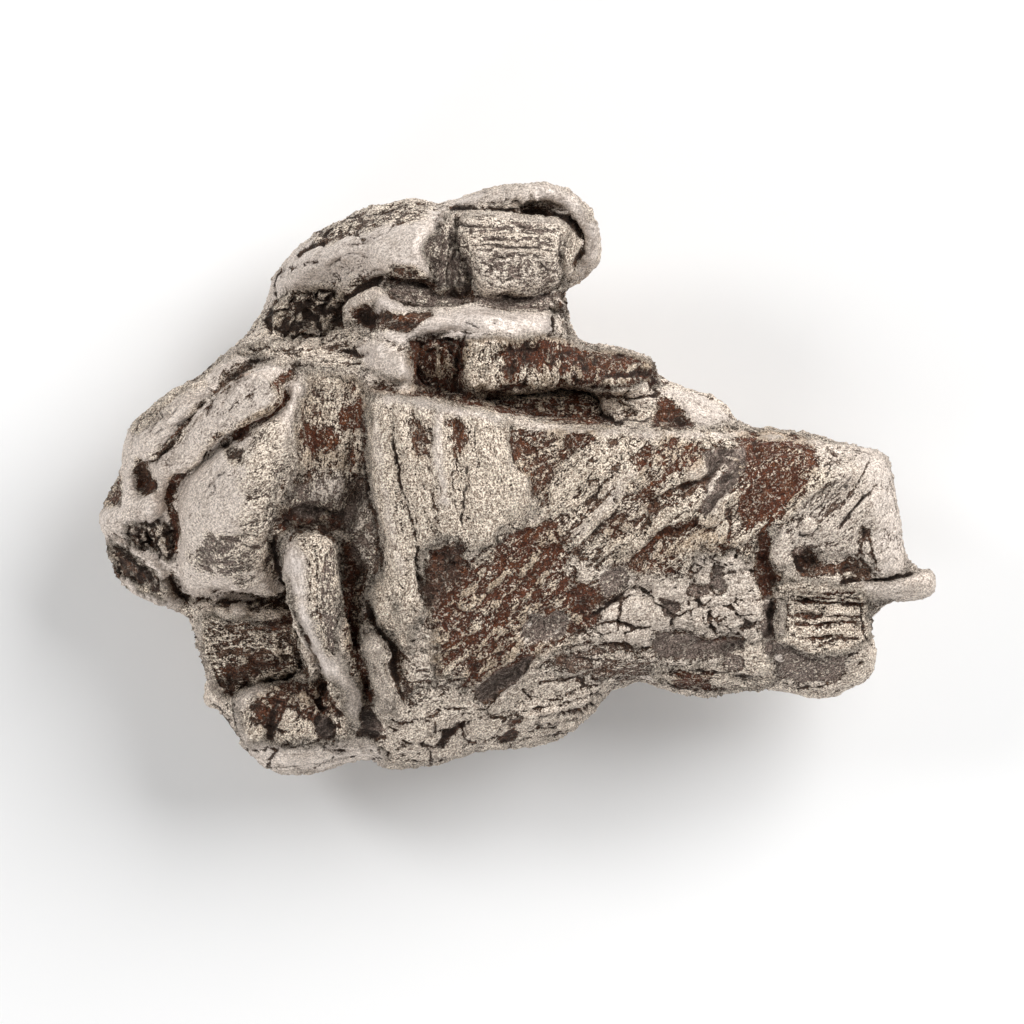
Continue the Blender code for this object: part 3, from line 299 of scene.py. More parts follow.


# The left lobes
# Thick sheets of metal that were hot enough to fold like dough. They are rubbed smooth and silvery, with
# rust left in the folds between them and in the small cavities at their outer end, and the folds are painted
# dark, as dirt and as painted shadow where one lobe shades the next.
def left_lobes(skin):
    lobes = [(-25.6, -3.0), (-24.5, 3.0), (-21.5, 5.5), (-17.0, 8.0), (-13.0, 6.8), (-13.2, 3.0),
             (-14.0, 0.0), (-14.6, -3.0), (-14.2, -7.0), (-19.0, -7.2), (-22.0, -7.6), (-24.9, -6.0)]
    skin.patch(lobes, bare=0.84, rust=0.2, grey=0.3, worn=0.72, turn=33.0)
    skin.fill([(-24.9, -3.6), (-23.6, -3.7), (-22.0, -4.8), (-20.8, -6.4), (-21.4, -7.2), (-23.4, -6.4),
               (-24.6, -5.2)], [(-24.5, -4.3, 8.5), (-22.0, -6.5, 8.5), (-22.6, -4.9, 9.5)])
    skin.fill([(-21.4, 1.5), (-19.2, 4.1), (-16.4, 6.4), (-14.7, 5.9), (-15.0, 4.8), (-17.4, 3.2),
               (-19.4, 1.6), (-20.6, 0.7)], [(-20.8, 1.5, 13.0), (-15.5, 5.2, 17.4), (-19.1, 3.8, 14.7)],
              settle=0.8)
    skin.patch([(-23.4, 3.4), (-21.6, 5.4), (-18.0, 7.4), (-18.4, 6.2), (-20.6, 4.6), (-22.6, 2.9)],
               edge=0.3, bare=0.62, rust=0.3, worn=0.1, turn=38.0)
    for shift in range(4):
        x, y = -22.8 + 0.32 * shift, 3.4 - 0.28 * shift
        skin.line([(x, y), (x + 1.6, y + 1.3), (x + 3.4, y + 2.3)], 0.2, -0.2, dark=0.65, bare=0.2)
        skin.line([(x + 0.1, y + 0.2), (x + 1.7, y + 1.5), (x + 3.5, y + 2.5)], 0.24, 0.16, bare=0.95)
    skin.lip([(-22.4, 1.2), (-21.3, 2.0), (-20.4, 2.9), (-19.2, 4.5), (-18.0, 5.5), (-17.2, 6.3),
              (-15.8, 7.1)], 1.4, 0.95, bare=0.9)
    # The dark line along the lobe's lower right side is dirt and painted shadow, where the lobe shades the
    # fold.
    skin.line([(-15.7, 6.9), (-17.2, 6.0), (-18.0, 5.2), (-19.2, 4.2), (-20.4, 2.5), (-21.3, 1.7),
               (-22.2, 1.0)], 0.55, -0.2, dark=0.3, bare=0.3, rust=0.35, worn=0.0, grey=0.0)
    skin.lip([(-20.2, 0.6), (-18.8, 1.95), (-17.2, 3.35), (-15.9, 4.05), (-14.8, 4.45), (-14.3, 5.2),
              (-14.4, 6.2)], 1.1, 0.55, bare=0.95)
    skin.line([(-13.0, 6.5), (-14.0, 6.1), (-14.2, 5.5), (-13.9, 4.7), (-14.8, 4.0), (-15.9, 3.6),
               (-16.7, 3.1)], 0.8, -0.2, dark=0.1, rust=1.0, bare=0.05, worn=0.0)
    skin.spot((-16.3, 2.8), (0.7, 0.5), -0.15, turn=30, rust=1.0, bare=0.05, dark=0.2)
    skin.line([(-16.9, 3.2), (-17.8, 2.6), (-18.8, 1.6), (-19.5, 0.8), (-20.2, 0.2)], 0.36, -0.25,
              dark=0.45, bare=0.15, rust=0.6, worn=0.0)
    skin.line([(-20.4, 0.1), (-20.9, -1.0), (-20.7, -2.2), (-20.5, -3.2), (-20.6, -4.3)], 0.6, -0.2,
              dark=0.25, bare=0.12, rust=1.0, worn=0.0)
    skin.spot((-20.5, 0.2), (0.45, 0.35), rust=1.0, bare=0.0, dark=0.0)
    skin.line([(-17.0, 0.6), (-17.9, 0.2), (-18.3, -0.2), (-18.8, -1.2), (-18.9, -1.7)], 0.26, -0.2,
              dark=0.7)
    skin.line([(-18.2, 0.2), (-18.0, -0.6), (-18.4, -1.0)], 0.2, -0.15, dark=0.6)
    skin.line([(-21.0, 3.8), (-21.8, 3.1), (-22.5, 2.4)], 0.24, -0.2, dark=0.6)
    skin.line([(-15.4, 5.3), (-16.6, 4.7), (-17.6, 3.9)], 0.3, -0.1, dark=0.35, bare=0.4)
    skin.line([(-16.0, 2.9), (-15.6, 2.2), (-16.2, 1.0), (-17.0, 0.3)], 0.3, -0.12, grey=0.8, bare=0.45)
    skin.patch([(-17.3, 2.0), (-16.2, 1.9), (-16.0, 1.1), (-16.9, 1.2)], -0.1, edge=0.2, ragged=0.2,
               dark=0.45, bare=0.4, worn=0.0)
    skin.line([(-23.2, 2.6), (-23.6, 1.0), (-23.5, -1.0), (-23.4, -2.0)], 0.9, 0.12, bare=1.0, dark=0.0)
    skin.patch([(-22.9, 1.3), (-22.3, 0.9), (-21.5, -0.5), (-22.5, -0.6), (-22.9, -0.3)], -0.05, edge=0.2,
               ragged=0.15, dark=0.25, bare=0.28, rust=0.6, worn=0.0)
    skin.patch([(-24.0, 0.5), (-25.2, -1.3), (-24.0, -1.4)], -0.05, edge=0.25, ragged=0.1, dark=0.25,
               bare=0.3, rust=0.6, worn=0.0)
    skin.spot((-24.8, -2.2), (0.9, 0.8), 0.08, bare=0.95, worn=0.8)
    skin.spot((-22.1, -1.5), (0.9, 0.8), 0.15, bare=0.95, worn=0.8)
    skin.line([(-22.9, -1.6), (-22.6, -2.4), (-21.8, -2.5), (-21.2, -2.0)], 0.24, -0.2, dark=0.7)
    skin.patch([(-24.0, -2.5), (-22.4, -2.6), (-21.0, -2.8), (-20.9, -4.6), (-21.8, -4.2), (-23.2, -3.6)],
               edge=0.2, ragged=0.3, bare=0.4, rust=0.4, dark=0.42, worn=0.0, turn=-50.0)
    for shard in ([(-22.6, -2.6), (-21.9, -3.2), (-21.3, -4.6)], [(-21.6, -2.4), (-21.4, -3.4),
                                                                  (-21.2, -4.4)], [(-23.9, -2.7),
                                                                                   (-23.1, -3.0),
                                                                                   (-22.6, -3.5)],
                  [(-23.0, -2.5), (-22.4, -3.3), (-22.0, -4.0)]):
        skin.line(shard, 0.34, 0.3, bare=1.0, dark=0.0, worn=0.5)
    skin.patch([(-24.6, -3.9), (-23.4, -4.3), (-22.4, -5.3), (-21.0, -6.6), (-21.4, -7.1), (-23.2, -6.2),
                (-24.3, -5.1)], -0.1, edge=0.2, ragged=0.3, dark=0.45, bare=0.3, rust=0.5, worn=0.0,
               turn=-48.0)
    skin.line([(-23.6, -3.8), (-22.6, -4.3), (-22.0, -4.9), (-21.2, -5.9)], 0.4, 0.3, dark=0.0, bare=0.9)
    skin.cracks([(-24.4, -4.1), (-22.6, -5.0), (-21.2, -6.6), (-23.0, -6.3), (-24.3, -5.2)], 0.6, -0.25,
                dark=0.7, bare=0.1)
    skin.cracks([(-24.0, -2.5), (-21.0, -2.6), (-20.9, -4.6), (-23.2, -3.6)], 0.6, -0.25, turn=-55.0,
                long=1.8, dark=0.7, bare=0.1)
    skin.line([(-24.9, -3.9), (-24.0, -5.9), (-22.0, -7.0), (-20.0, -7.6)], 0.9, 0.2, bare=0.9, dark=0.0)
    skin.patch([(-19.2, -3.8), (-17.2, -3.2), (-15.4, -3.6), (-15.2, -5.4), (-17.0, -5.9), (-19.1, -5.2)],
               -0.06, edge=0.4, ragged=0.6, bare=0.26, grey=0.9, worn=0.2, dark=0.36)
    skin.patch([(-15.6, 3.0), (-13.8, 3.4), (-13.4, 1.0), (-13.8, -2.0), (-14.4, -5.6), (-16.0, -4.6),
                (-16.2, -2.0)], edge=0.7, ragged=0.6, bare=0.46, grey=0.6, worn=0.2)
    skin.line([(-20.9, -5.4), (-20.6, -6.6), (-19.4, -7.15), (-17.0, -7.3), (-14.6, -7.3), (-13.4, -7.8)],
              0.45, -0.2, dark=0.5, bare=0.12, worn=0.0, rust=0.5)
    for x, y in ((-19.6, -7.1), (-18.9, -7.35), (-18.2, -7.25), (-15.7, -7.35), (-15.0, -7.1),
                 (-14.2, -7.5), (-13.8, -7.1)):
        skin.spot((x, y), (0.32, 0.2), 0.22, turn=20.0, bare=0.95, dark=0.0)
    skin.line([(-19.5, -7.6), (-18.2, -7.7), (-17.2, -8.1), (-15.3, -8.2)], 0.45, 0.15, bare=0.9, dark=0.0)
    skin.spot((-16.65, -7.7), (0.62, 0.5), 0.35, bare=0.95, dark=0.0, worn=0.6)
    skin.spot((-17.8, -7.85), (0.35, 0.2), 0.2, bare=0.95, dark=0.0)
    skin.patch([(-15.2, -6.8), (-13.6, -6.6), (-13.3, -7.6), (-15.2, -7.6)], edge=0.3, bare=0.5, worn=0.1,
               dark=0.2)


# The hollow and the tongue
# The lobes overlap the middle of the stone, and leave a hollow with rust in it. A long smooth tongue of metal
# runs down out of the hollow between two deep rusty channels.
def hollow_and_tongue(skin):
    hollow = [(-13.4, 3.8), (-13.1, 2.0), (-12.9, 0.8), (-13.5, -0.3), (-13.9, -2.4), (-10.5, -2.9),
              (-9.5, -1.5), (-8.9, 0.5), (-9.1, 3.0), (-8.9, 5.6), (-10.6, 6.6), (-12.6, 6.3)]
    skin.patch(hollow, bare=0.6, rust=0.6, worn=0.1, turn=80.0, dark=0.0)
    skin.patch([(-13.0, 6.2), (-10.4, 6.4), (-10.6, 4.4), (-12.8, 4.0)], edge=0.5, bare=0.75, grey=0.5)
    skin.patch([(-12.7, 3.0), (-11.4, 3.2), (-11.0, 2.2), (-12.2, 1.7)], edge=0.3, bare=0.2, rust=1.0)
    skin.patch([(-10.4, 4.5), (-9.3, 4.4), (-9.2, 2.8), (-10.0, 2.9)], edge=0.3, bare=0.2, rust=1.0)
    skin.patch([(-13.4, 0.2), (-9.6, 0.3), (-9.4, -1.9), (-13.4, -2.0)], edge=0.5, bare=0.3, grey=0.8,
               worn=0.6, rust=0.2)
    for x, y in ((-11.4, 0.8), (-10.7, 0.85), (-9.4, 2.9), (-12.2, 1.1)):
        skin.spot((x, y), (0.3, 0.22), 0.12, bare=1.0, dark=0.0)
    skin.fill([(-14.3, -1.6), (-10.2, -1.7), (-10.2, -3.3), (-12.2, -3.2), (-14.3, -3.5)],
              [(-14.0, -2.0, 14.6), (-10.5, -2.0, 14.7), (-12.0, -3.1, 15.0)])
    skin.patch([(-14.2, -1.7), (-12.2, -1.5), (-10.4, -1.7), (-10.3, -3.0), (-12.3, -2.7), (-14.2, -3.3)],
               edge=0.3, ragged=0.3, bare=0.15, rust=0.8, dark=0.42, worn=0.0)
    skin.patch([(-9.9, -0.4), (-8.9, 0.0), (-8.3, -2.5), (-7.9, -5.2), (-9.6, -5.6), (-10.2, -3.0)],
               edge=0.4, bare=0.3, grey=0.65, rust=0.25, worn=0.5)
    skin.line([(-9.6, 0.9), (-9.3, 0.4), (-9.0, 0.6)], 0.3, 0.15, bare=1.0)
    tongue = [(-13.9, -3.4), (-12.3, -2.9), (-10.7, -3.6), (-10.7, -7.0), (-10.7, -9.6), (-10.0, -11.5),
              (-9.2, -13.2), (-9.8, -14.2), (-11.0, -12.2), (-12.0, -10.2), (-13.0, -7.9), (-13.8, -5.5)]
    skin.patch(tongue, edge=0.25, ragged=0.1, bare=0.85, worn=0.7, rust=0.3, turn=-72.0, dark=0.0)
    skin.line([(-13.2, -4.0), (-13.2, -6.0), (-12.7, -8.0), (-11.8, -10.2), (-10.9, -12.2)], 1.3, 0.1,
              bare=1.0, worn=1.0)
    skin.patch([(-13.2, -3.0), (-10.7, -3.2), (-10.6, -9.6), (-11.2, -10.4), (-12.0, -8.6), (-12.5, -6.0),
                (-12.9, -4.2)], edge=0.25, ragged=0.25, bare=0.5, rust=0.4, worn=0.1, turn=-82.0)
    skin.patch([(-13.4, -2.9), (-10.8, -3.0), (-10.9, -4.0), (-12.4, -3.7), (-13.3, -3.8)], edge=0.25,
               bare=0.3, dark=0.35, rust=0.4)
    skin.patch([(-11.4, -4.4), (-10.7, -4.4), (-10.6, -10.0), (-11.2, -9.8), (-11.5, -7.0)], edge=0.2,
               ragged=0.2, bare=0.22, grey=0.9, worn=0.1, turn=-84.0)
    for x, top, low in ((-12.35, -4.6, -9.0), (-11.9, -4.2, -8.6), (-11.45, -4.4, -9.6),
                        (-11.05, -5.4, -10.2)):
        skin.line([(x, top), (x + 0.05, (top + low) / 2), (x + 0.35, low)], 0.18, -0.12, dark=0.45,
                  bare=0.25)
    skin.line([(-14.4, -3.0), (-14.3, -5.0), (-13.75, -6.6), (-13.1, -8.1), (-12.5, -9.4)], 0.49, -0.25,
              dark=0.65, bare=0.08, worn=0.0)
    skin.line([(-12.5, -9.0), (-11.9, -10.6), (-11.1, -12.1), (-10.6, -13.2)], 0.45, -0.3, dark=0.6,
              rust=0.9, bare=0.05)
    skin.line([(-13.2, -8.2), (-12.9, -9.5), (-12.4, -10.9)], 0.5, 0.2, bare=1.0, dark=0.0)
    skin.line([(-10.2, -3.4), (-10.0, -5.0), (-9.9, -6.5), (-10.0, -8.0), (-9.7, -10.0), (-9.2, -11.5),
               (-8.6, -13.8)], 1.0, 0.0, rust=1.0, dark=0.12, bare=0.2, worn=0.0)
    skin.line([(-8.7, -9.2), (-8.4, -10.8), (-8.1, -12.2), (-7.8, -13.9)], 1.3, 0.12, bare=0.92, worn=0.45,
              dark=0.0, turn=-75.0)
    skin.patch([(-8.5, -6.0), (-7.4, -5.9), (-7.1, -8.2), (-8.0, -8.8), (-8.6, -7.4)], -0.05, edge=0.3,
               bare=0.85, worn=0.1, turn=-75.0)
    skin.line([(-9.1, -7.0), (-8.6, -8.4), (-7.9, -9.1), (-7.4, -9.8), (-7.2, -11.4), (-6.8, -13.1)], 0.39,
              -0.35, dark=0.9, bare=0.05)
    skin.patch([(-9.0, -13.9), (-8.0, -14.7), (-8.3, -15.5), (-9.1, -15.4), (-9.4, -14.8)], -0.15,
               edge=0.25, dark=0.5, grey=0.6, bare=0.1)


# The fan
# A stack of thin crystal plates seen nearly edge on, spread like a fan. Its face is cream with dark specks,
# with two ochre stains near the top, and thin dark seams run down between the plates.
def fan(skin):
    plates = [(-8.8, 4.9), (-5.0, 4.6), (-0.8, 3.7), (-0.4, 2.6), (-0.4, 1.6), (0.0, 0.6), (0.7, 0.2),
              (0.8, -1.1), (1.6, -1.8), (0.4, -2.6), (-0.9, -3.2), (-2.1, -4.0), (-2.9, -4.6), (-3.8, -3.4),
              (-5.2, -3.6), (-5.8, -5.2), (-5.6, -8.0), (-6.9, -10.0), (-7.2, -8.0), (-7.9, -6.0),
              (-8.3, -2.5), (-9.0, 1.2)]
    skin.patch(plates, edge=0.3, bare=0.78, rust=0.25, worn=0.12, turn=-84.0, dark=0.0)
    skin.patch([(-3.2, 3.9), (-0.8, 3.4), (-0.4, 0.6), (0.6, -0.6), (0.0, -1.9), (-2.4, -3.9),
                (-3.0, -1.0)], 0.1, edge=0.3, bare=0.84)
    skin.line([(-9.0, 3.2), (-9.0, 1.2), (-8.8, -0.5), (-8.3, -2.5), (-7.8, -5.0)], 0.35, -0.25, dark=0.6,
              bare=0.2)
    skin.line([(-7.5, 3.4), (-7.1, 1.5), (-6.8, 0.0), (-6.4, -1.5), (-6.1, -3.0), (-5.9, -5.0),
               (-5.5, -7.0)], 0.24, -0.25, dark=0.65, bare=0.2)
    skin.line([(-8.3, 4.2), (-8.2, 1.8), (-7.8, -0.5), (-7.3, -3.0), (-6.9, -5.8)], 0.7, 0.12, bare=0.9,
              worn=0.5)
    skin.line([(-7.2, 4.2), (-6.6, 2.0), (-6.0, -0.5), (-5.5, -2.8)], 0.5, 0.08, bare=0.75)
    skin.patch([(-6.3, 3.9), (-5.2, 3.6), (-4.9, 2.5), (-5.1, 1.2), (-5.8, 1.2), (-6.4, 2.6)], -0.1,
               edge=0.25, ragged=0.2, bare=0.45, rust=0.55, dark=0.15)
    skin.patch([(-4.0, 3.6), (-2.8, 3.5), (-2.6, 2.6), (-3.0, 1.5), (-3.7, 1.5)], -0.1, edge=0.25,
               ragged=0.2, bare=0.4, rust=0.6, dark=0.18)
    skin.line([(-4.4, 4.4), (-4.7, 2.0), (-4.4, 0.0), (-4.3, -1.6)], 0.8, 0.12, bare=0.95, worn=0.8)
    skin.line([(-5.2, 1.0), (-5.0, -0.8), (-4.6, -2.8)], 0.21, -0.12, dark=0.35, bare=0.4)
    skin.line([(-3.8, 1.4), (-3.7, -0.4), (-3.6, -2.2)], 0.21, -0.12, dark=0.3, bare=0.45)
    skin.line([(-2.9, 1.2), (-2.95, -0.4), (-3.1, -1.4), (-3.25, -2.1), (-3.1, -3.0)], 0.21, -0.18,
              dark=0.75)
    skin.line([(-2.4, 3.3), (-2.5, 1.8), (-2.3, 0.6)], 0.17, -0.1, dark=0.3, bare=0.5)
    skin.patch([(-3.2, -3.6), (-4.2, -3.9), (-5.0, -4.8), (-5.4, -6.5), (-5.0, -7.6), (-4.0, -6.6),
                (-3.0, -5.6)], -0.08, edge=0.4, bare=0.12, grey=0.45, rust=0.6, dark=0.3, worn=0.1)
    skin.patch([(-0.3, 3.1), (0.9, 2.9), (2.9, 3.0), (3.3, 1.6), (2.4, 0.6), (1.8, -0.4), (1.9, -1.5),
                (1.0, -0.9), (0.8, 0.2), (0.1, 0.6), (-0.3, 1.6)], -0.2, edge=0.2, ragged=0.15, bare=0.46,
               rust=0.65, worn=0.0, dark=0.1)
    skin.line([(0.6, 0.3), (0.9, -0.3), (0.9, -1.0)], 0.21, -0.2, dark=0.85)
    skin.line([(-0.5, 2.6), (-0.3, 1.9), (-0.1, 0.9)], 0.21, -0.15, dark=0.6)
    skin.line([(0.1, 3.3), (1.2, 3.2), (2.7, 3.0)], 0.5, 0.12, bare=0.85, grey=0.3, worn=0.5)
    skin.line([(1.1, 2.5), (1.8, 2.3), (2.6, 2.6)], 0.17, -0.15, dark=0.8)


# The wedge
# The broad face right of the fan, broken along slanting crystal plates. Ribs of cream metal stand between
# rusty furrows; low down it is smooth and dark in places, with cream flakes like islands.
def wedge(skin):
    face = [(2.9, 3.0), (8.0, 3.0), (12.0, 3.4), (20.0, 2.0), (20.5, -3.0), (15.0, -3.0), (14.0, -6.0),
            (8.0, -5.4), (5.0, -5.0), (2.6, -4.0), (1.0, -2.0), (2.0, 0.6), (3.4, 2.0)]
    skin.patch(face, edge=0.4, bare=0.52, rust=0.45, worn=0.05, turn=43.0)
    rusty = [(-5.2, -4.4), (-3.0, -4.6), (-1.0, -3.4), (1.2, -2.2), (2.8, -3.0), (3.2, -5.6), (5.0, -7.6),
             (5.2, -8.8), (3.2, -9.8), (1.0, -11.0), (-2.0, -12.2), (-4.6, -11.6), (-5.0, -9.0)]
    skin.patch(rusty, edge=0.5, ragged=0.6, bare=0.27, rust=0.85, worn=0.0, turn=45.0)
    skin.patch([(3.4, 1.6), (5.0, 2.6), (6.6, 2.6), (6.9, 0.6), (4.6, -1.7), (2.6, -2.4), (2.0, -0.8)],
               edge=0.3, bare=0.76, rust=0.3, turn=45.0)
    skin.patch([(7.5, 2.3), (10.8, 2.2), (10.6, 0.6), (9.0, 0.4), (7.2, 0.2)], edge=0.3, bare=0.34,
               rust=0.9)
    skin.patch([(7.0, 0.4), (10.4, 0.5), (9.2, -0.5), (7.4, -2.4), (5.6, -3.4), (5.2, -2.6), (6.6, -1.0)],
               edge=0.4, ragged=0.5, bare=0.40, rust=0.6)
    skin.patch([(8.0, -4.2), (10.6, -3.1), (13.4, -2.9), (13.2, -4.0), (10.8, -4.8), (8.4, -5.8),
                (6.6, -5.4)], edge=0.4, ragged=0.6, bare=0.33, rust=0.7)
    skin.patch([(3.3, 3.1), (4.5, 2.9), (4.3, 2.1), (3.5, 2.0)], edge=0.2, bare=0.1, rust=0.75)
    skin.line([(6.9, 0.7), (5.9, -0.6), (5.0, -1.6), (4.2, -2.4), (3.5, -3.3)], 1.0, 0.15, bare=0.95,
              worn=0.5)
    skin.line([(6.0, -0.2), (4.5, -1.6), (3.7, -2.5), (2.9, -3.0)], 0.17, -0.16, dark=0.7, bare=0.1)
    skin.line([(6.7, -0.8), (6.0, -1.7), (5.2, -2.3), (4.3, -3.2)], 0.17, -0.16, dark=0.7, bare=0.1)
    for x, y, long in ((5.6, 0.6, 2.2), (4.4, 1.6, 1.4), (8.4, 1.4, 1.6), (9.2, -0.2, 1.4),
                       (7.6, -1.6, 1.8), (6.2, -3.2, 2.0), (9.6, -3.6, 2.0), (11.4, -3.2, 1.8),
                       (4.8, -4.2, 1.6), (15.6, 0.6, 1.4), (14.8, -2.2, 1.4), (12.2, -4.4, 1.4)):
        skin.line([(x, y), (x - 0.36 * long, y - 0.3 * long), (x - 0.7 * long, y - 0.72 * long)], 0.3, 0.13,
                  bare=0.9)
        skin.line([(x + 0.1, y - 0.25), (x - 0.24 * long, y - 0.3 * long - 0.25),
                   (x - 0.6 * long, y - 0.7 * long - 0.2)], 0.14, -0.12, dark=0.6, bare=0.15)
    skin.line([(5.8, 1.1), (5.9, 0.6), (6.3, 0.5), (6.3, 1.3), (6.1, 1.9)], 0.13, -0.12, dark=0.95)
    skin.line([(11.4, 0.1), (10.0, -0.3), (9.0, -0.7), (8.3, -1.4), (7.8, -2.2), (7.0, -3.2)], 0.36, -0.25,
              dark=0.45, bare=0.15, rust=0.6)
    skin.line([(9.4, -1.6), (8.4, -2.7), (7.4, -3.6), (6.6, -4.6)], 0.9, 0.15, bare=0.72, grey=0.4)
    skin.line([(10.8, -2.2), (9.5, -2.9), (8.4, -3.3), (7.4, -4.0), (6.8, -4.8)], 0.5, -0.22, dark=0.3,
              rust=0.9, bare=0.15)
    skin.line([(12.8, -2.4), (10.6, -3.4), (8.8, -4.6)], 0.9, 0.1, bare=0.6)
    skin.patch([(10.9, 1.6), (11.6, 2.1), (13.4, 2.0), (13.4, 0.3), (12.6, -0.9), (11.6, -1.9),
                (10.9, -1.4), (11.2, 0.2)], -0.1, edge=0.25, ragged=0.2, bare=0.05, grey=0.9, worn=0.5,
               dark=0.5)
    skin.line([(12.6, 1.0), (12.0, 0.4), (11.3, -0.7)], 0.6, 0.35, bare=1.0, dark=0.0, grey=0.0)
    skin.line([(13.2, -0.8), (12.6, -1.0), (11.9, -1.9), (11.4, -2.3), (10.8, -2.2)], 0.65, 0.35, bare=1.0,
              dark=0.0, grey=0.0)
    skin.line([(12.4, 1.5), (13.0, 1.4), (13.3, 0.8), (13.1, -0.1), (12.5, -0.9)], 0.2, 0.1, bare=1.0,
              dark=0.0)
    skin.spot((10.6, 0.4), (0.65, 0.5), 0.2, bare=0.95, dark=0.0, worn=0.4)
    skin.patch([(13.6, 2.7), (15.2, 2.7), (17.6, 2.4), (17.5, 0.4), (16.6, -0.9), (15.3, -2.2),
                (14.2, -3.0), (13.3, -1.0)], edge=0.35, ragged=0.4, bare=0.0, rust=1.0, worn=0.0, dark=0.12)
    skin.line([(14.3, 2.7), (14.2, 1.9), (14.5, 1.0)], 0.4, -0.2, dark=0.5, rust=0.9, bare=0.1)
    flakes = [(4.8, -7.6), (6.4, -6.6), (7.0, -5.8), (10.4, -5.9), (10.6, -4.8), (12.2, -4.2), (14.2, -4.6),
              (15.2, -7.0), (15.2, -9.4), (12.6, -9.2), (11.0, -9.2), (9.8, -8.8), (8.0, -9.9), (5.2, -9.8)]
    skin.patch(flakes, edge=0.35, ragged=0.5, bare=1.0, rust=0.2, grey=0.2, worn=0.45, turn=8.0)
    skin.cracks(flakes, 1.6, -0.2, turn=10.0, long=1.5, width=0.17, dark=0.6, bare=0.15, grey=0.5)
    skin.cracks([(10.6, -4.6), (14.4, -4.6), (15.2, -9.4), (10.4, -9.2)], 0.8, -0.12, width=0.13, dark=0.5,
                bare=0.3)
    skin.cracks([(2.6, 0.0), (6.4, 2.8), (13.0, 2.6), (13.6, -2.6), (8.0, -5.6), (3.0, -4.6)], 0.9, -0.12,
                turn=43.0, long=3.5, width=0.13, dark=0.3, bare=0.3)
    skin.cracks([(-5.0, -4.4), (2.6, -3.0), (5.0, -7.6), (3.0, -10.0), (-3.6, -12.0)], 0.8, -0.12,
                turn=43.0, long=2.4, width=0.2, dark=0.3, bare=0.05)
    skin.patch([(11.8, -5.3), (12.3, -5.2), (12.5, -6.6), (12.0, -6.9), (11.7, -6.2)], -0.2, edge=0.15,
               bare=0.05, grey=0.8, dark=0.3)
    skin.patch([(14.9, -6.9), (15.4, -6.9), (15.5, -8.5), (15.7, -9.8), (15.0, -10.3), (14.6, -9.2),
                (14.8, -8.0)], -0.15, edge=0.15, ragged=0.1, bare=0.05, grey=0.8, dark=0.3)
    skin.patch([(10.3, -6.3), (11.6, -6.3), (11.5, -6.9), (10.4, -6.9)], -0.15, edge=0.15, bare=0.08,
               grey=0.6, dark=0.3)
    skin.patch([(8.6, -7.0), (10.0, -7.3), (9.6, -7.8), (9.0, -8.0)], -0.2, edge=0.15, ragged=0.1,
               bare=0.05, grey=0.7, dark=0.4)
    skin.line([(8.2, -6.85), (7.2, -6.4), (6.5, -6.6), (5.8, -7.1), (4.3, -8.0)], 0.28, -0.3, dark=0.85,
              bare=0.1)
    skin.patch([(4.9, -5.9), (5.6, -5.2), (6.6, -5.0), (6.4, -6.2), (5.2, -7.0)], edge=0.3, bare=0.05,
               grey=1.0, worn=0.8)
    skin.patch([(3.2, -6.2), (4.8, -6.2), (5.0, -7.2), (4.0, -7.9), (3.2, -7.4)], -0.15, edge=0.3,
               bare=0.12, rust=0.9, dark=0.4)
    skin.patch([(1.1, -7.9), (2.4, -7.6), (3.0, -8.3), (2.6, -9.2), (0.8, -9.7), (0.3, -9.0)], -0.08,
               edge=0.3, bare=0.05, grey=1.0, rust=0.0, worn=0.8)
    skin.spot((3.9, -5.3), (0.35, 0.5), 0.12, turn=20, bare=1.0)
    skin.patch([(-2.4, -12.2), (-1.4, -11.5), (0.4, -10.5), (1.0, -10.6), (0.1, -12.0), (-1.2, -12.9),
                (-2.4, -13.2)], -0.15, edge=0.25, ragged=0.15, bare=0.08, grey=0.9, dark=0.35, worn=0.7)
    skin.line([(2.0, -10.1), (0.8, -11.3), (-0.3, -12.5), (-1.4, -13.7)], 0.5, 0.2, bare=0.95, dark=0.0)
    skin.line([(0.2, -8.9), (0.0, -9.9), (-0.5, -10.8), (-1.5, -11.4), (-2.9, -12.6)], 0.3, 0.12, bare=0.95,
              dark=0.0)
    skin.line([(1.0, -8.3), (-0.4, -8.7), (-1.2, -9.4)], 0.3, 0.1, bare=0.9)
    for shift in range(5):
        x = -3.6 + 1.25 * shift
        skin.line([(x + 1.9, -5.0), (x + 0.8, -6.4), (x - 0.5, -7.6)], 0.35, 0.08, bare=0.55)
        skin.line([(x + 1.2, -8.6), (x + 0.1, -9.8), (x - 1.1, -10.9)], 0.35, 0.08, bare=0.5)


